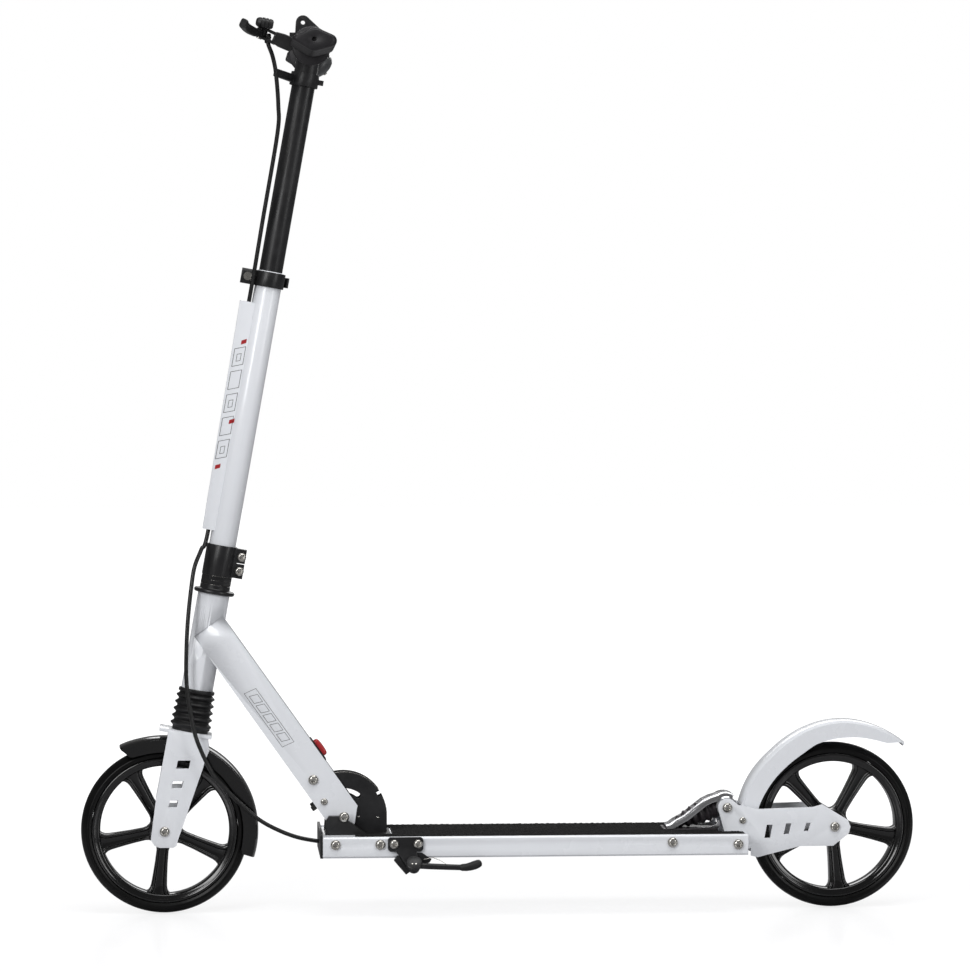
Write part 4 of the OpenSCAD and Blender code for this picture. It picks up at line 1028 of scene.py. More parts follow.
FRONT_CROWN = [(118, 114.6), (104, 113), (90, 112.4), (40, 112), (-17, 112)]
FRONT_SKIRT = [(118, 114), (117, 106.5), (115.4, 98.6), (112, 95.6), (100, 94.4), (40, 94), (-14, 94),
               (-17, 97)]
REAR_CROWN = [(167, 116), (149, 116), (131, 116), (119, 118.5), (107, 122), (93, 126.3), (80, 129.4),
              (64, 131.5),
              (49, 133)]
REAR_SKIRT = [(167, 94), (150, 92), (130, 92), (114, 95), (102, 101), (81, 108), (66, 114), (57, 119),
              (49, 131.4)]
front_fender = add("front_fender_moulded", fender_mesh("front_fender_moulded", FRONT, FRONT_CROWN,
                                                       FRONT_SKIRT,
                                                       21, 1.6, 3.2), "fork", "gloss_black",
                   ["front_fender"])
add_turned("front_fender_boss", [(0, -14), (7, -14), (7, -4.2), (0, -4.2)], on_steer(120), STEER, "fork",
           "gloss_black", 40, False, ["front_fender"])
rear_fender = add("rear_fender_pressed", fender_mesh("rear_fender_pressed", REAR, REAR_CROWN, REAR_SKIRT,
                                                     22, 1.8, 3.6, 120), "foot_brake", "white_paint",
                  ["rear_fender"])


def rounded_bar(a, b, radius_a, radius_b, turns=14):
    """The outline of a bar between two round ends, as (x, z) pairs."""
    d = (b - a).normalized()
    start = math.atan2(d.z, d.x)
    first = [(a, radius_a, start + math.pi / 2 + math.pi * k / turns) for k in range(turns + 1)]
    second = [(b, radius_b, start - math.pi / 2 + math.pi * k / turns) for k in range(turns + 1)]
    return [(c.x + mm(r) * math.cos(w), c.z + mm(r) * math.sin(w)) for c, r, w in first + second]


RIM_SIDE = REAR + mm(104 * math.cos(math.radians(160)), 0, 104 * math.sin(math.radians(160)))
for side in (-1, 1):
    label = "left" if side < 0 else "right"
    faces = extruded(rounded_bar(SMALL, RIM_SIDE, 7, 9), *sorted((side * 17.8, side * 20.1)))
    bevel(add(f"fender_lug_{label}", mesh_from("fender_lug", *faces, 30), "foot_brake", "white_paint",
              ["rear_fender"]), 0.4)
    add_turned(f"fender_bush_{label}", [(3.1, 17.8), (5, 17.8), (5, 26.6), (3.1, 26.6)], SMALL,
               Y_AXIS * side,
               "foot_brake", "white_paint", 32, True, ["rear_fender"])
print("fenders:", front_fender.name, rear_fender.name)

# %% [markdown]
# ## The fork's rubber boot
# The boot hides the sliding tube. It is turned from one wavy profile, a little wider at the bottom,
# and it flattens along the steering axis when the fork is pushed in.

# %% Turn the boot
CROWN_S = 120
BOOT_H = 50.5


def boot_profile(folds=5, steps=8):
    outer = [(21.2, 0), (21.6, 1.2), (21.4, 2.6)]
    span = BOOT_H - 8.5
    for k in range(folds * steps + 1):
        height = 3.6 + span * k / (folds * steps)
        size = 22.9 - 1.9 * k / (folds * steps)
        wave = math.cos(2 * math.pi * (k / steps - 0.5))
        outer.append((size + 2.1 * (wave if wave > 0 else wave * 0.75), height))
    outer += [(20.9, BOOT_H - 4.2), (21.6, BOOT_H - 3.6), (21.6, BOOT_H - 0.8), (21.0, BOOT_H)]
    return outer + [(radius - 1.4, height) for radius, height in reversed(outer)]


boot = add_turned("fork_boot", boot_profile(), on_steer(CROWN_S), STEER, "fork", "rubber_black", 72, True,
                  ["bellows"], 60)
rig.squash(boot, "front_shock", axis=STEER, anchor=on_steer(CROWN_S), keep=0.65)
print("boot:", len(boot.data.polygons), "faces")

# %% [markdown]
# ## Grips
# The grips are long almond-shaped rubber mouldings that spread the palm's load. They are lofted
# from an almond outline. Fine raised bands run round them, and each ends in a smooth cap with a
# small vent hole.

# %% Loft the grips
from mathutils.geometry import convex_hull_2d

GRIP_CIRCLES = [(1.0, 0.0, 13.4), (-22.0, 0.4, 3.0), (19.0, -0.4, 7.4)]
GRIP_TILT = math.radians(-3)


def almond(count=96):
    """The outline round three circles, as `count` (x, z) pairs at even angles."""
    cloud = []
    for x, z, r in GRIP_CIRCLES:
        cloud += [Vector((x + r * math.cos(a * 0.05), z + r * math.sin(a * 0.05))) for a in range(126)]
    hull = [cloud[i] for i in convex_hull_2d(cloud)]
    outline = []
    for k in range(count):
        ray = Vector((math.cos(2 * math.pi * k / count), math.sin(2 * math.pi * k / count)))
        best = 0
        for a, b in zip(hull, hull[1:] + hull[:1]):
            edge = b - a
            cross = ray.x * edge.y - ray.y * edge.x
            if abs(cross) > 1e-9:
                reach = (a.x * edge.y - a.y * edge.x) / cross
                share = (a.x * ray.y - a.y * ray.x) / cross
                if reach > 0 and -1e-6 <= share <= 1 + 1e-6:
                    best = max(best, reach)
        turned_ray = Vector((ray.x * math.cos(GRIP_TILT) - ray.y * math.sin(GRIP_TILT),
                             ray.x * math.sin(GRIP_TILT) + ray.y * math.cos(GRIP_TILT)))
        outline.append((turned_ray, best))
    return outline


def grip_mesh(side):
    outline = almond()
    inner_y, outer_y = BAR_HIGH.y * 1000 + 4 - 118, BAR_HIGH.y * 1000 + 4
    rings = [(inner_y + 4.6, 0.80, None), (inner_y + 5.2, 0.93, None), (inner_y + 6.8, 0.985, None)]
    y = inner_y + 9
    while y < outer_y - 14:
        rings += [(y, 0.985, None), (y + 0.5, 1.0, None), (y + 2.1, 1.0, None), (y + 2.6, 0.985, None)]
        y += 4.2
    rings += [(outer_y - 12, 0.985, None), (outer_y - 11, 1.0, None), (outer_y - 6, 1.0, None),
              (outer_y - 3.4, 0.98, None), (outer_y - 1.4, 0.92, None), (outer_y - 0.3, 0.84, None),
              (outer_y, 0.79, None),
              (outer_y, 0, 3.3), (outer_y - 0.4, 0, 2.7), (outer_y - 5, 0, 2.6)]
    points, faces = [], []
    for y, share, radius in rings:
        for ray, reach in outline:
            r = radius if radius else reach * share
            points.append(BAR + Vector((mm(ray.x * r), 0,
                                        mm(ray.y * r))) - Y_AXIS * BAR.y + Y_AXIS * mm(side * y))
    count = len(outline)
    for i in range(len(rings) - 1):
        for k in range(count):
            a, b = i * count + k, i * count + (k + 1) % count
            faces.append([a, b, b + count, a + count])
    faces.append(list(range(count)))
    faces.append([(len(rings) - 1) * count + k for k in range(count)])
    return mesh_from("grip", points, faces, 38)


for side in (-1, 1):
    label = "left" if side < 0 else "right"
    add(f"grip_{label}", grip_mesh(side), "column", "grip_black", ["grips"])
    inner = BAR_HIGH.y * 1000 + 4 - 118
    add_turned(f"grip_flange_{label}", [(11, inner + 5), (11, inner), (21.4, inner), (22.7, inner + 1),
                                        (23, inner + 2.5), (22.7, inner + 4), (21.4, inner + 5)],
               BAR, Y_AXIS * side, "column", "grip_black", 64, True, ["grips"])
print("grips:", len(almond()), "points round")

# %% [markdown]
# ## The deck's grip
# The deck carries coarse black grit in rows of raised bars, so a shoe holds when it is wet. The bars
# are one small shape, placed in staggered rows by the tree.

# %% Lay the grip surface
dressed("deck_grip", 0.4, 2)


def stud_mesh():
    outline = [(-2.1, 0.55), (-1.6, 0.85), (1.6, 0.85), (2.1, 0.55), (2.1, -0.55), (1.6, -0.85),
               (-1.6, -0.85),
               (-2.1, -0.55)]
    points = [mm(x, y, -0.1) for x, y in outline] + [mm(x * 0.72, y * 0.6, 0.95) for x, y in outline]
    count = len(outline)
    faces = [[k, (k + 1) % count, count + (k + 1) % count, count + k] for k in range(count)]
    return mesh_from("stud", points, faces + [[count + k for k in range(count)]], 40)


GRIP_LOW, GRIP_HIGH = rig.box("deck_grip")
stud = pattern("one_stud", stud_mesh())
spots = []
chance = random.Random(7)
clear_of_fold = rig.box("fold_clevis")[1]
shock_low, shock_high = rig.box("shock_bracket")
row = 0
x = GRIP_LOW.x + mm(4)
while x < GRIP_HIGH.x - mm(4):
    y = GRIP_LOW.y + mm(3.4 + (2.6 if row % 2 else 0))
    while y < GRIP_HIGH.y - mm(3):
        under_fold = x < clear_of_fold.x + mm(5) and abs(y) < clear_of_fold.y + mm(4)
        under_shock = shock_low.x - mm(3) < x < shock_high.x + mm(3) and abs(y) < shock_high.y + mm(3)
        at_arm = x > GRIP_HIGH.x - mm(32) and abs(y) < mm(40)
        if not (under_fold or under_shock or at_arm):
            lean = math.radians(chance.uniform(-9, 9))
            across = Vector((math.cos(lean), math.sin(lean), 0))
            spots.append((Vector((x, y, GRIP_HIGH.z)), Z_AXIS, across,
                          Vector((1, 1, chance.uniform(0.75, 1.15)))))
        y += mm(5.2)
    x += mm(3.4)
    row += 1
copies("deck_grip_studs", stud, spots, "deck", "grip_tape")
discard(stud)
print("deck:", len(spots), "studs")

# %% [markdown]
# ## The rear shock
# A rubber-and-spring block stands under a bright cover between the deck and the arm's ear. The
# block is a cone of rings, and the cover is one bent strip with a rolled head round the bolt.

# %% Build the shock
SHOCK_FOOT = Vector((EAR.x - mm(60), 0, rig.box("deck_grip")[1].z + mm(3)))
shock_axis = (EAR - SHOCK_FOOT).normalized()
shock_length = (EAR - SHOCK_FOOT).length * 1000 - 9


def shock_profile(rings=6, steps=8):
    outer = [(0, 0), (4.5, 0)]
    for k in range(rings * steps + 1):
        height = 1 + (shock_length - 2) * k / (rings * steps)
        size = 5.0 + 8.2 * math.sin(min(1.0, height / 44) * math.pi / 2)
        outer.append((size + 1.4 * math.cos(2 * math.pi * (k / steps - 0.5)), height))
    return outer + [(7, shock_length), (0, shock_length)]


add_turned("shock_block", shock_profile(), SHOCK_FOOT + Z_AXIS * mm(3), shock_axis, "deck", "shock_grey",
           64,
           False, ["shock_spring"], 60)


def strip(name, path, half, thick, body, slot, replaces, rib=0.0):
    """A sheet strip that follows (x, z) points, with its edges turned down a little."""
    points, faces = [], []
    section = [(-half, -6), (-half, -2), (-half + 0.6, -0.6), (-half + 2, 0), (-half * 0.5, rib),
               (0, 0.25 * rib),
               (half * 0.5, rib), (half - 2, 0), (half - 0.6, -0.6), (half, -2), (half, -6)]
    section += [(max(-half + thick, min(half - thick, y)), z - thick if abs(z) < 5 else z)
                for y, z in reversed(section)]
    for i, (x, z) in enumerate(path):
        before, after = Vector(path[max(0, i - 1)]), Vector(path[min(len(path) - 1, i + 1)])
        heading = (after - before).normalized()
        up = Vector((-heading.y, heading.x))
        points += [Vector((x + mm(h) * up.x, mm(y), z + mm(h) * up.y)) for y, h in section]
    count = len(section)
    for i in range(len(path) - 1):
        for k in range(count):
            a, b = i * count + k, i * count + (k + 1) % count
            faces.append([a, b, b + count, a + count])
    for base in (0, (len(path) - 1) * count):
        for k in range(count // 2 - 1):
            faces.append([base + k, base + k + 1, base + count - 2 - k, base + count - 1 - k])
    return add(name, mesh_from(name, points, faces, 35), body, slot, replaces)


cover_path = [(EAR.x - mm(72), shock_high.z - mm(8.6)), (EAR.x - mm(67), shock_high.z - mm(7.4)),
              (EAR.x - mm(61), shock_high.z - mm(3)), (EAR.x - mm(50), EAR.z - mm(11.5)),
              (EAR.x - mm(38), EAR.z - mm(2)), (EAR.x - mm(27), EAR.z + mm(6.5)),
              (EAR.x - mm(19), EAR.z + mm(10.5))]
cover_path += [(EAR.x + mm(16.6) * math.cos(math.radians(a)), EAR.z + mm(16.6) * math.sin(math.radians(a)))
               for a in range(126, 46, -10)]
strip("shock_cover_pressed", cover_path, 21, 1.2, "deck", "aluminium", ["shock_cover"], 0.9)
DECK_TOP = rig.box("deck_grip")[1].z
pad = extruded([(EAR.x - mm(76), DECK_TOP), (EAR.x - mm(10), DECK_TOP),
                (EAR.x - mm(10), DECK_TOP + mm(1.6)),
                (EAR.x - mm(75), DECK_TOP + mm(1.6))], -21, 21)
bevel(add("shock_pad", mesh_from("shock_pad", *pad), "deck", "shock_grey", ["shock_bracket"]), 0.4)
for side in (-1, 1):
    label = "left" if side < 0 else "right"
    rise = [(-30, 1.6), (-9, 1.6), (-7.5, 5), (-7.5, 11), (-9.5, 12), (-12, 7), (-18, 4), (-30, 3)]
    horn = extruded([(EAR.x + mm(x), DECK_TOP + mm(z)) for x, z in rise], *sorted((side * 19.4, side * 21)))
    bevel(add(f"shock_horn_{label}", mesh_from("shock_horn", *horn), "deck", "aluminium",
              ["shock_bracket"]), 0.3)
for side in (-1, 1):
    label = "left" if side < 0 else "right"
    add_turned(f"shock_head_{label}", [(4.1, 8), (11.6, 8), (13, 9.4), (13, 24.2), (11.6, 25.6),
                                       (4.1, 25.6)],
               EAR, Y_AXIS * side, "rear_arm", "aluminium", 56, True, ["shock_rod"])
add_turned("shock_rod_bar", [(4.05, -9), (7, -9), (7, 9), (4.05, 9)], EAR, Y_AXIS, "rear_arm", "steel", 40,
           True,
           ["shock_rod"])
print("shock:", round(shock_length), "mm long")

# %% [markdown]
# ## The release button
# The red button is a shallow dome on a black frame, easy to find with a thumb.

# %% Shape the button
def dome_block(name, outline_half, centre, along_axis, side_axis, up_axis, low, high, steps=10):
    """A soft-cornered block that domes towards its top."""
    points, faces = [], []
    around = 48
    half_u, half_w = outline_half
    for i in range(steps + 1):
        t = i / steps
        height = low + (high - low) * math.sin(t * math.pi / 2) if i else low
        share = 1 if i == 0 else (1 - t ** 4 * 0.97)
        for k in range(around):
            w = 2 * math.pi * k / around
            c, s = math.cos(w), math.sin(w)
            u = half_u * math.copysign(abs(c) ** 0.45, c) * share
            v = half_w * math.copysign(abs(s) ** 0.45, s) * share
            points.append(centre + along_axis * mm(u) + side_axis * mm(v) + up_axis * mm(height))
    for i in range(steps):
        for k in range(around):
            a, b = i * around + k, i * around + (k + 1) % around
            faces.append([a, b, b + around, a + around])
    faces.append(list(range(around)))
    faces.append([steps * around + k for k in range(around)])
    return mesh_from(name, points, faces, 50)


add("latch_button_stem", dome_block("latch_button_stem", (9.4, 5.6), on_neck(82, 0), NECK_ALONG, Y_AXIS,
                                    NECK_UP,
                                    9, 25), "button", "red_plastic", ["latch_button"])
add("latch_button_dome", dome_block("latch_button_dome", (11.2, 6.8), on_neck(82, 0), NECK_ALONG, Y_AXIS,
                                    NECK_UP,
                                    22.4, 28.2), "button", "red_plastic", ["latch_button"])
bevel(add("latch_button_foot", mesh_from("latch_button_foot", *extruded(
    [(p.x, p.z) for p in (on_neck(65.5, 7.6), on_neck(94, 7.6), on_neck(94, 9.6), on_neck(65.5, 9.6))],
                                                                        -5.5, 5.5)),
    "button", "red_plastic", ["latch_button"]), 0.3)
print("button made")

# %% [markdown]
# ## The kickstand
# The stand's leg is a bent rod that ends in an up-turned rubber foot, so it can be flicked down
# with a shoe. Both are tubes swept along a short path in the stand's own plane.

# %% Sweep the kickstand
STAND_AXIS = Vector(JOINT["stand_swing"]["axis"]).normalized()
STAND_OUT = STAND_AXIS.cross(Vector((1, 0, 0))).normalized()


def on_stand(x, out, depth):
    return STAND + mm(x, 0, 0) + STAND_OUT * mm(out) + STAND_AXIS * mm(depth)


leg = [(0, 0.5, -3), (8, 1.5, -3), (20, 2.6, -3), (34, 3.4, -3), (50, 4.2, -3), (60, 4.6, -3)]
leg_path = [on_stand(*point) for point in leg]
add("stand_leg_rod", mesh_from("stand_leg_rod", *swept(leg_path, [3.8, 3.8, 3.6, 3.5, 3.4, 3.4], 28)),
    "kickstand",
    "black_paint", ["kickstand_leg"])
add_turned("stand_leg_boss", [(0, -8.4), (8.4, -8.4), (9.4, -7.8), (9.8, -6.6), (9.8, -4), (7, -2),
                              (7, 0.4), (6.4, 1),
                              (3, 1), (3, 7), (0, 7)], STAND, STAND_AXIS, "kickstand", "black_paint", 48,
           False,
           ["kickstand_leg"])
foot = [(55, 4.4, -3), (57, 4.5, -3), (62, 4.3, -3), (67, 3.2, -3), (72, 1.4, -3), (76.5, -0.6, -3),
        (79, -1.8, -3), (80, -2.3, -3)]
add("stand_foot_cap", mesh_from("stand_foot_cap", *swept([on_stand(*point) for point in foot],
                                                         [3.5, 4.2, 4.5, 4.9, 5.2, 4.9, 3.9, 2.0], 32)),
    "kickstand", "rubber_black", ["kickstand_foot"])
print("stand swept")

# %% [markdown]
# ## Small helpers for castings
# Two more ways of making a solid: a flat outline given thickness in any direction, and a soft-edged
# bar that follows a path.

# %% Prisms and bars
def prism(name, outline, origin, u, v, w, low, high, body, slot, replaces=(), ease=0.5):
    """An outline of (u, v) pairs in millimetres, thickened along w from low to high."""
    count = len(outline)
    points = [origin + u * mm(a) + v * mm(b) + w * mm(c) for c in (low, high) for a, b in outline]
    faces = [list(range(count)), list(range(2 * count - 1, count - 1, -1))]
    faces += [[k, (k + 1) % count, (k + 1) % count + count, k + count] for k in range(count)]
    piece = add(name, mesh_from(name, points, faces), body, slot, replaces)
    return bevel(piece, ease) if ease else piece


def soft_bar(path, halves, up, sides=32, corner=0.5):
    """A bar with rounded-square sections: halves are (across, along up) at each point."""
    points, faces = [], []
    for i, point in enumerate(path):
        heading = (path[min(i + 1, len(path) - 1)] - path[max(i - 1, 0)]).normalized()
        side = heading.cross(up).normalized()
        top = side.cross(heading)
        wide, tall = halves[i]
        for k in range(sides):
            c, s = math.cos(2 * math.pi * k / sides), math.sin(2 * math.pi * k / sides)
            points.append(point + side * mm(wide) * math.copysign(abs(c) ** corner, c)
                          + top * mm(tall) * math.copysign(abs(s) ** corner, s))
    for i in range(len(path) - 1):
        for k in range(sides):
            a, b = i * sides + k, i * sides + (k + 1) % sides
            faces.append([a, b, b + sides, a + sides])
    faces.append(list(range(sides)))
    faces.append([(len(path) - 1) * sides + k for k in range(sides)])
    return points, faces


X_AXIS = Vector((1, 0, 0))
print("casting helpers ready")

# %% [markdown]
# ## The brake lever
# The lever swings on a pin in a black perch that is clamped to the bar. Its blade leaves the pin,
# sweeps forward and runs along in front of the grip, and a ribbed barrel beside the pin sets the
# cable's length.

# %% Build the lever and its perch
PIN = place("hand_brake")
PIN_AXIS = Vector(JOINT["hand_brake"]["axis"]).normalized()
PERCH_DOWN = PIN_AXIS if PIN_AXIS.z < 0 else PIN_AXIS * -1
BAR_AT_PERCH = Vector((BAR.x, PIN.y, BAR.z))
PERCH_OUT = (PIN - BAR_AT_PERCH).normalized()


def on_perch(x, y, z):
    return BAR_AT_PERCH + PERCH_OUT * mm(x) + Y_AXIS * mm(y) + PERCH_DOWN * mm(z)


add_turned("perch_clamp", [(11.05, -7.5), (14.6, -7.5), (15.6, -6.5), (15.6, 6.5), (14.6, 7.5),
                           (11.05, 7.5)],
           BAR_AT_PERCH, Y_AXIS, "column", "black_plastic", 56, True, ["lever_perch"])
prism("perch_arm", [(12, -1), (34, 0), (45, 2), (45, 14.5), (36, 16.5), (22, 16), (12, 9)], BAR_AT_PERCH,
      PERCH_OUT,
      PERCH_DOWN, Y_AXIS, -7, 7, "column", "black_plastic", ["lever_perch"], 1.6)
cheek = [(40, -6.5), (60, -6.5)] + [(60 + 6.5 * math.cos(math.radians(a)), 6.5 * math.sin(math.radians(a)))
                                    for a in range(-75, 76, 15)] + [(60, 6.5), (40, 6.5)]
for label, low, high in (("upper", 2.6, 5.6), ("lower", 13.4, 16.4)):
    prism(f"perch_cheek_{label}", cheek, BAR_AT_PERCH, PERCH_OUT, Y_AXIS, PERCH_DOWN, low, high, "column",
          "black_plastic", ["lever_perch"], 0.6)
add_turned("lever_pin_body", [(0, 1.6), (3.6, 1.6), (3.6, 2.5), (2.5, 2.6), (2.5, 16.5), (3.4, 16.6),
                              (3.4, 17.6),
                              (0, 17.6)], on_perch(60, 0, 0), PERCH_DOWN, "column", "steel", 32, False,
           ["lever_pin"])
BARREL = [(0, -10.5), (3.4, -10.5), (5.2, -9.4), (6.0, -7), (6.1, -5.6), (5.3, -5.3), (5.3, -4.6),
          (6.2, -4.3),
          (6.4, -1.2), (5.5, -0.9), (5.5, -0.2), (6.4, 0.1), (6.3, 3.4), (5.4, 3.7), (5.4, 4.4), (6.1, 4.7),
          (5.6, 7.6), (4.2, 9.6), (2.6, 10.4), (0, 10.5)]
add_turned("lever_barrel", BARREL, on_perch(61, -11, -1), (PERCH_OUT + Z_AXIS * -0.25).normalized(),
           "column",
           "black_plastic", 40, False, ["lever_perch"], 30)
add_turned("lever_boss", [(2.55, 5.8), (6, 5.8), (6.6, 6.4), (6.6, 12.6), (6, 13.2), (2.55, 13.2)],
           on_perch(60, 0, 0), PERCH_DOWN, "hand_lever", "black_paint", 40, True, ["brake_lever"])
blade = [(60, -3, 9.5), (63, -12, 12.5), (67.5, -24, 14.5), (72.5, -40, 15.6), (77, -62, 16.4),
         (79.5, -86, 16.8),
         (80.6, -104, 17), (81, -110, 17), (81.1, -113, 17)]
blade_size = [(3.6, 3.4), (3.4, 4.4), (3.2, 5.2), (3.0, 5.5), (3.0, 5.5), (3.4, 5.5), (4.4, 5.6),
              (4.4, 5.4), (3.0, 4)]
add("lever_blade", mesh_from("lever_blade", *soft_bar([on_perch(*point) for point in blade], blade_size,
                                                      PERCH_DOWN),
                             50), "hand_lever", "black_paint", ["brake_lever"])
CABLE_TOP = mm(*UPPER_ROUTE[0])
add_turned("cable_ferrule", [(2.55, -2), (3.9, -2), (4.3, -1.2), (4.3, 3.4), (3.7, 3.8), (3.7, 5.4),
                             (4.1, 5.8),
                             (4.1, 8), (3.4, 8.6), (2.55, 8.6)], CABLE_TOP, mm(*UPPER_ROUTE[1]) - CABLE_TOP,
           "column", "black_plastic", 32, True)
print("lever made")

# %% [markdown]
# ## The bell
# A small enamelled dome on a post under the bar, struck by a spring hammer that a thumb flicks.

# %% Turn the bell
BELL_AXIS = Vector(JOINT["bell_ring"]["axis"]).normalized()
if BELL_AXIS.z > 0:
    BELL_AXIS = BELL_AXIS * -1
BELL_BASE = Vector((BAR.x, mm(46), BAR.z))
dome = [(0, 21.4), (15.6, 20.6), (16.6, 20), (17.5, 20.2)]
dome += [(17.6 * math.cos(math.radians(a)), 20.8 + 10.8 * math.sin(math.radians(a)))
         for a in range(4, 90, 7)]
dome += [(0, 31.6)]
add_turned("bell_dome_spun", dome, BELL_BASE, BELL_AXIS, "column", "bell_grey", 72, False, ["bell_dome"],
           40)
add_turned("bell_nut", [(0, 31.2), (2.4, 31.2), (2.4, 32.4), (1.6, 33), (0, 33)], BELL_BASE, BELL_AXIS,
           "column",
           "steel", 24, False, ["bell_dome"])
print("bell made")

# %% [markdown]
# ## The headset
# The steering bearings sit in a cup pressed into each end of the head tube. The upper cup ends in a
# broad rounded flange that keeps rain out.

# %% Turn the cups
HEAD_S0, HEAD_S1 = 171, 287
upper_cup = [(15.1, -8), (16.9, -8), (16.9, 0), (22.4, 0), (23.8, 0.8), (24.4, 2.4), (24.0, 4.2),
             (22.4, 5.2),
             (18.6, 5.8), (18, 6.6), (18, 10.4), (17.4, 11), (15.1, 11)]
lower_cup = [(15.1, 8), (16.9, 8), (16.9, 0), (18.5, 0), (18.5, -3.4), (17.9, -4), (15.1, -4)]
for label, profile, s in (("upper", upper_cup, HEAD_S1), ("lower", lower_cup, HEAD_S0)):
    add_turned(f"headset_cup_{label}", profile, on_steer(s), STEER, "neck", "black_paint", 80, True,
               ["headset_cups"], 30)
print("headset cups turned")

# %% [markdown]
# ## The neck's weld
# The neck's box section is notched round the head tube and welded, and the weld is ground smooth, so
# the flat side runs into the tube with no step. The part's mesh is cut along the tube's axis and a
# little way behind, and its end is drawn in to the tube's surface.

# %% Blend the neck into the head tube
def cut(work, point, normal):
    geometry = list(work.verts) + list(work.edges) + list(work.faces)
    bmesh.ops.bisect_plane(work, geom=geometry, dist=1e-7, plane_co=point, plane_no=normal)


HEAD_R = 19.0
mesh = frame["nodes"]["neck"].data.copy()
work = bmesh.new()
work.from_mesh(mesh)
bmesh.ops.remove_doubles(work, verts=work.verts, dist=2e-6)
bmesh.ops.dissolve_limit(work, angle_limit=math.radians(0.5), verts=work.verts, edges=work.edges)
end_u = max((vertex.co - FOLD).dot(NECK_ALONG) for vertex in work.verts
            if abs(abs(vertex.co.y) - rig.box("neck")[1].y) < 1e-5) * 1000
cut(work, STEER_BASE, STEER_BACK)
cut(work, on_neck(end_u - 26, 0), NECK_ALONG)
moved = 0
for vertex in work.verts:
    back = (vertex.co - STEER_BASE).dot(STEER_BACK) * 1000
    along = (vertex.co - FOLD).dot(NECK_ALONG) * 1000
    radius = math.hypot(back, vertex.co.y * 1000)
    if radius > HEAD_R + 0.05 and (back < -0.01 or along > end_u - 1) and abs(back) < HEAD_R:
        vertex.co.y = math.copysign(mm(math.sqrt(HEAD_R ** 2 - back ** 2)), vertex.co.y)
        moved += 1
bmesh.ops.triangulate(work, faces=[face for face in work.faces if len(face.verts) > 4])
bmesh.ops.recalc_face_normals(work, faces=work.faces)
work.to_mesh(mesh)
work.free()
mesh.shade_smooth()
mesh.set_sharp_from_angle(angle=math.radians(34))
add("neck_welded", mesh, "neck", "white_paint", ["neck"])
print("neck blended,", moved, "corners drawn in, end at", round(end_u))

# %% [markdown]
# ## Details of the fork and the fold
# Each fork leg is a pressed plate whose rear edge is folded in to stiffen it. The quadrant plates
# have a bare steel edge where the lock's pin rides, and two rivets hold them to the base.

# %% Add the pressed details
for side in (-1, 1):
    label = "left" if side < 0 else "right"
    outer = [(30.5, 115.6, 0.02), (47.2, 80.5, 0.02), (48.2, 84, 0.3), (53.4, 96, -2.2),
             (51.5, 113.2, -2.4)]
    points = [FRONT + Vector((mm(x), side * (mm(FORK_OUT + shift - thick)), mm(z)))
              for thick in (0, 2.2) for x, z, shift in outer]
    faces = [[0, 1, 2, 3, 4], [9, 8, 7, 6, 5]] + [[k, (k + 1) % 5, (k + 1) % 5 + 5, k + 5]
                                                  for k in range(5)]
    bevel(add(f"fork_flange_{label}", mesh_from("fork_flange", points, faces, 20), "fork", "white_paint"),
          0.5)
add_turned("crown_bolt", [(0, -7), (1.6, -7), (1.6, 0), (3.1, 0), (3.1, 3), (2.4, 3.6), (0, 3.6)],
           FRONT + mm(50.5, 0, 117.5), STEER, "fork", "black_paint", 28)
QUAD_Y, QUAD_T, QUAD_R = 10, 3.5, 52
for side in (-1, 1):
    label = "left" if side < 0 else "right"
    for part, first, last in (("back", 34, 118), ("front", 2, 25)):
        points, faces = [], []
        steps = 40
        low, high = QUAD_Y + 0.3, QUAD_Y + QUAD_T - 0.3
        for k in range(steps + 1):
            angle = math.radians(first + (last - first) * k / steps)
            out = Vector((math.cos(angle), 0, math.sin(angle)))
            for radius, y in ((QUAD_R - 0.9, low - 0.32), (QUAD_R + 0.12, low), (QUAD_R + 0.12, high),
                              (QUAD_R - 0.9, high + 0.32)):
                points.append(FOLD + out * mm(radius) + Y_AXIS * mm(side * y))
        for k in range(steps):
            for j in range(4):
                a, b = k * 4 + j, k * 4 + (j + 1) % 4
                faces.append([a, b, b + 4, a + 4])
        faces += [[0, 1, 2, 3], [steps * 4 + j for j in (3, 2, 1, 0)]]
        add(f"quadrant_edge_{part}_{label}", mesh_from("quadrant_edge", points, faces, 25), "deck", "steel")
    for k, (x, z) in enumerate(((18, -2), (41, -3))):
        add_turned(f"quadrant_rivet_{k}_{label}", [(0, 0), (1.3, 0), (1.1, 0.5), (0.5, 0.8), (0, 0.8)],
                   FOLD + mm(x, side * (QUAD_Y + QUAD_T - 0.1), z), Y_AXIS * side, "deck", "steel", 20)
print("pressed details added")

# %% [markdown]
# ## The stand's spring and plate
# A folded plate behind the hub stops the leg at each end of its swing, and a thin wire spring snaps
# it past the middle.

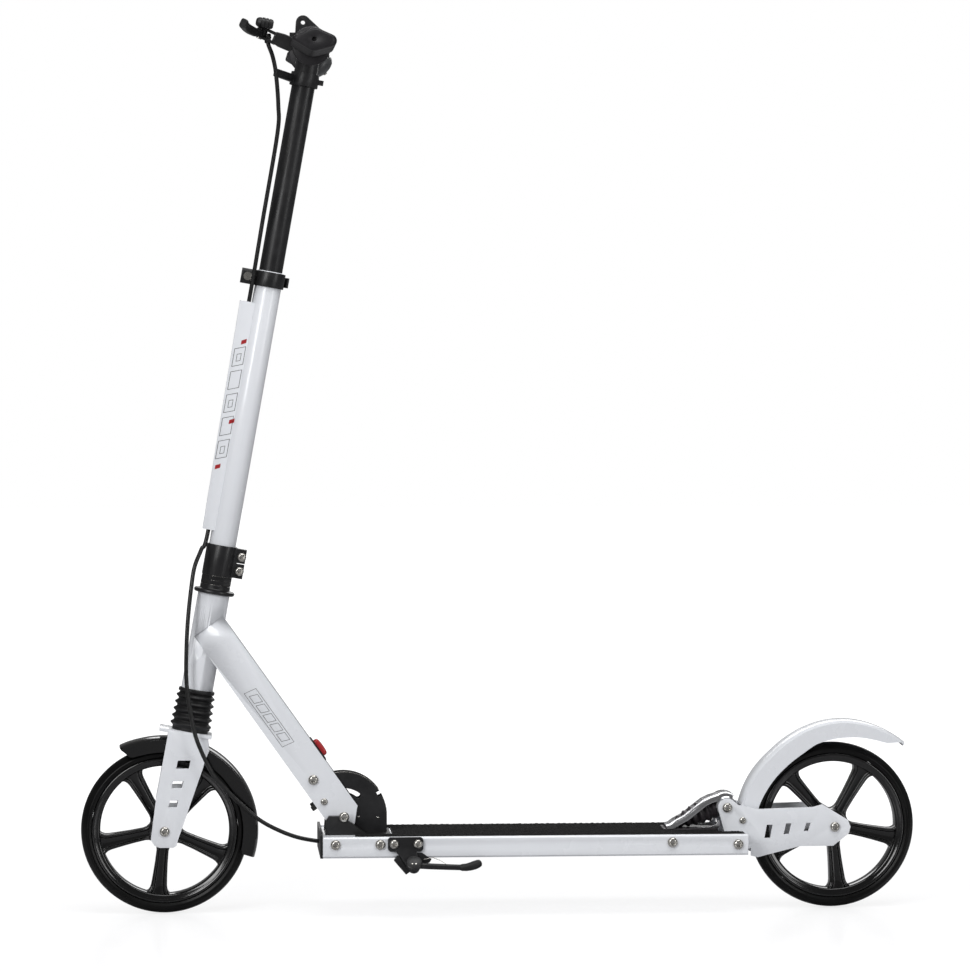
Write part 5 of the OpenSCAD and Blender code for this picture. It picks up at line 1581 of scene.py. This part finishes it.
# %% Finish the kickstand
SIDE_Y = -(HALF_DECK + 2.5)
stand_face = Vector((STAND.x, 0, STAND.z))
prism("stand_stop", [(-23.6, 6.2), (-19.8, 12), (-17.8, 11.6), (-4.6, -7.4), (-9.2, -10.6)], stand_face,
      X_AXIS, Z_AXIS,
      Y_AXIS, SIDE_Y - 4.5, SIDE_Y + 3, "deck", "black_paint", (), 0.7)
prism("stand_web", [(-18, 15), (10, 15), (21.5, 7), (19, 3), (8, 0), (-6, -4), (-12, 2)], stand_face,
      X_AXIS, Z_AXIS,
      Y_AXIS, SIDE_Y, SIDE_Y + 2.4, "deck", "black_paint", (), 0.6)
wire = [on_stand(*point) for point in ((12, -6, -5), (19, -7.6, -5), (23, -8.4, -5), (30, -5, -5),
                                       (36, -1.4, -5),
                                       (38, 1.4, -5))]
add("stand_spring", mesh_from("stand_spring", *swept(wire, 0.45, 12)), "kickstand", "steel")
for k, x in enumerate((-2.2, 2.2)):
    add_turned(f"stand_rivet_{k}", [(0, 0), (1.1, 0), (0.9, 0.5), (0, 0.7)], on_stand(x, 2.4, -8.3),
               STAND_AXIS * -1,
               "kickstand", "steel", 16)
print("stand finished")

# %% [markdown]
# ## Graphics
# Thin printed stripes on the guard and the neck, of a plain pattern that stands for no maker: open
# slanted blocks in a fine dark line, with short red slashes.

# %% Print the stripes
def framed(outline, line):
    """A thin frame along an outline, as quads between it and a smaller copy."""
    count = len(outline)
    inner = []
    for k in range(count):
        a, b, c = (Vector(outline[(k + j) % count]) for j in (-1, 0, 1))
        first, second = (b - a).normalized(), (c - b).normalized()
        inward = Vector((-(first.y + second.y), first.x + second.x))
        inner.append(b + inward.normalized() * line / max(0.3, abs(inward.length / 2)))
    return [tuple(point) for point in outline] + [tuple(point) for point in inner], [
        [k, (k + 1) % count, (k + 1) % count + count, k + count] for k in range(count)]


def printed(name, shapes, origin, u, v, w, level, body, slot):
    """Flat shapes given as (points, faces) in (u, v), laid 0.12 mm thick on a surface."""
    points, faces = [], []
    for flat, rings in shapes:
        start = len(points)
        count = len(flat)
        points += [origin + u * mm(a) + v * mm(b) + w * mm(level + t) for t in (0.12, -0.1) for a,
                   b in flat]
        faces += [[start + k for k in ring] for ring in rings]
        faces += [[start + count + k for k in reversed(ring)] for ring in rings]
        edges = {}
        for ring in rings:
            for a, b in zip(ring, ring[1:] + ring[:1]):
                edges[(a, b)] = True
        for a, b in edges:
            if (b, a) not in edges:
                faces.append([start + b, start + a, start + a + count, start + b + count])
    return add(name, mesh_from(name, points, faces, 30), body, slot)


def slanted(u0, u1, v0, v1, lean):
    return [(u0, v0), (u1, v0), (u1 + lean, v1), (u0 + lean, v1)]


def solid(outline):
    return outline, [list(range(len(outline)))]


GUARD_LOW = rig.box("cable_guard")[0]
GUARD_BACK = -20
GUARD_BLOCKS = [446 + 28 * k for k in range(5)]
NECK_BLOCKS = [116 + 14 * k for k in range(5)]
guard_blocks = [framed(slanted(s, s + 22, -6.5, 6.5, 5), 0.55) for s in GUARD_BLOCKS]
guard_blocks += [framed(slanted(s + 7, s + 16, -2.6, 2.6, 2), 0.5) for s in GUARD_BLOCKS[::2]]
guard_red = [solid(slanted(s, s + 5, v, v + 6, 3)) for s, v in ((434, -5), (490, 2), (586, 0))]
guard_face = GUARD_LOW.y * 1000
printed("guard_stripes", guard_blocks, on_steer(0, GUARD_BACK), STEER, STEER_BACK, Y_AXIS * -1,
        -guard_face, "stem",
        "black_plastic")
printed("guard_slashes", guard_red, on_steer(0, GUARD_BACK), STEER, STEER_BACK, Y_AXIS * -1, -guard_face,
        "stem",
        "red_plastic")
neck_blocks = [framed(slanted(u, u + 11, -5, 5, -4), 0.5) for u in NECK_BLOCKS]
neck_blocks.append(framed([(110, -8), (189, -8), (186, 7.5), (107, 7.5)], 0.45))
printed("neck_stripes", neck_blocks, on_neck(0, -4), NECK_ALONG, NECK_UP, Y_AXIS * -1,
        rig.box("neck")[1].y * 1000,
        "neck", "black_plastic")
print("stripes printed")

# %% [markdown]
# ## The sizes
# Both boxes, of the working parts and of the finished pieces, are written to extents.json.

# %% Measure and finish
with open("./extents.json", "w") as size_file:
    json.dump({"cad": [list(corner) for corner in cad_box],
               "visual": [list(corner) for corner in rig.bounds()]}, size_file)
print("sizes written")
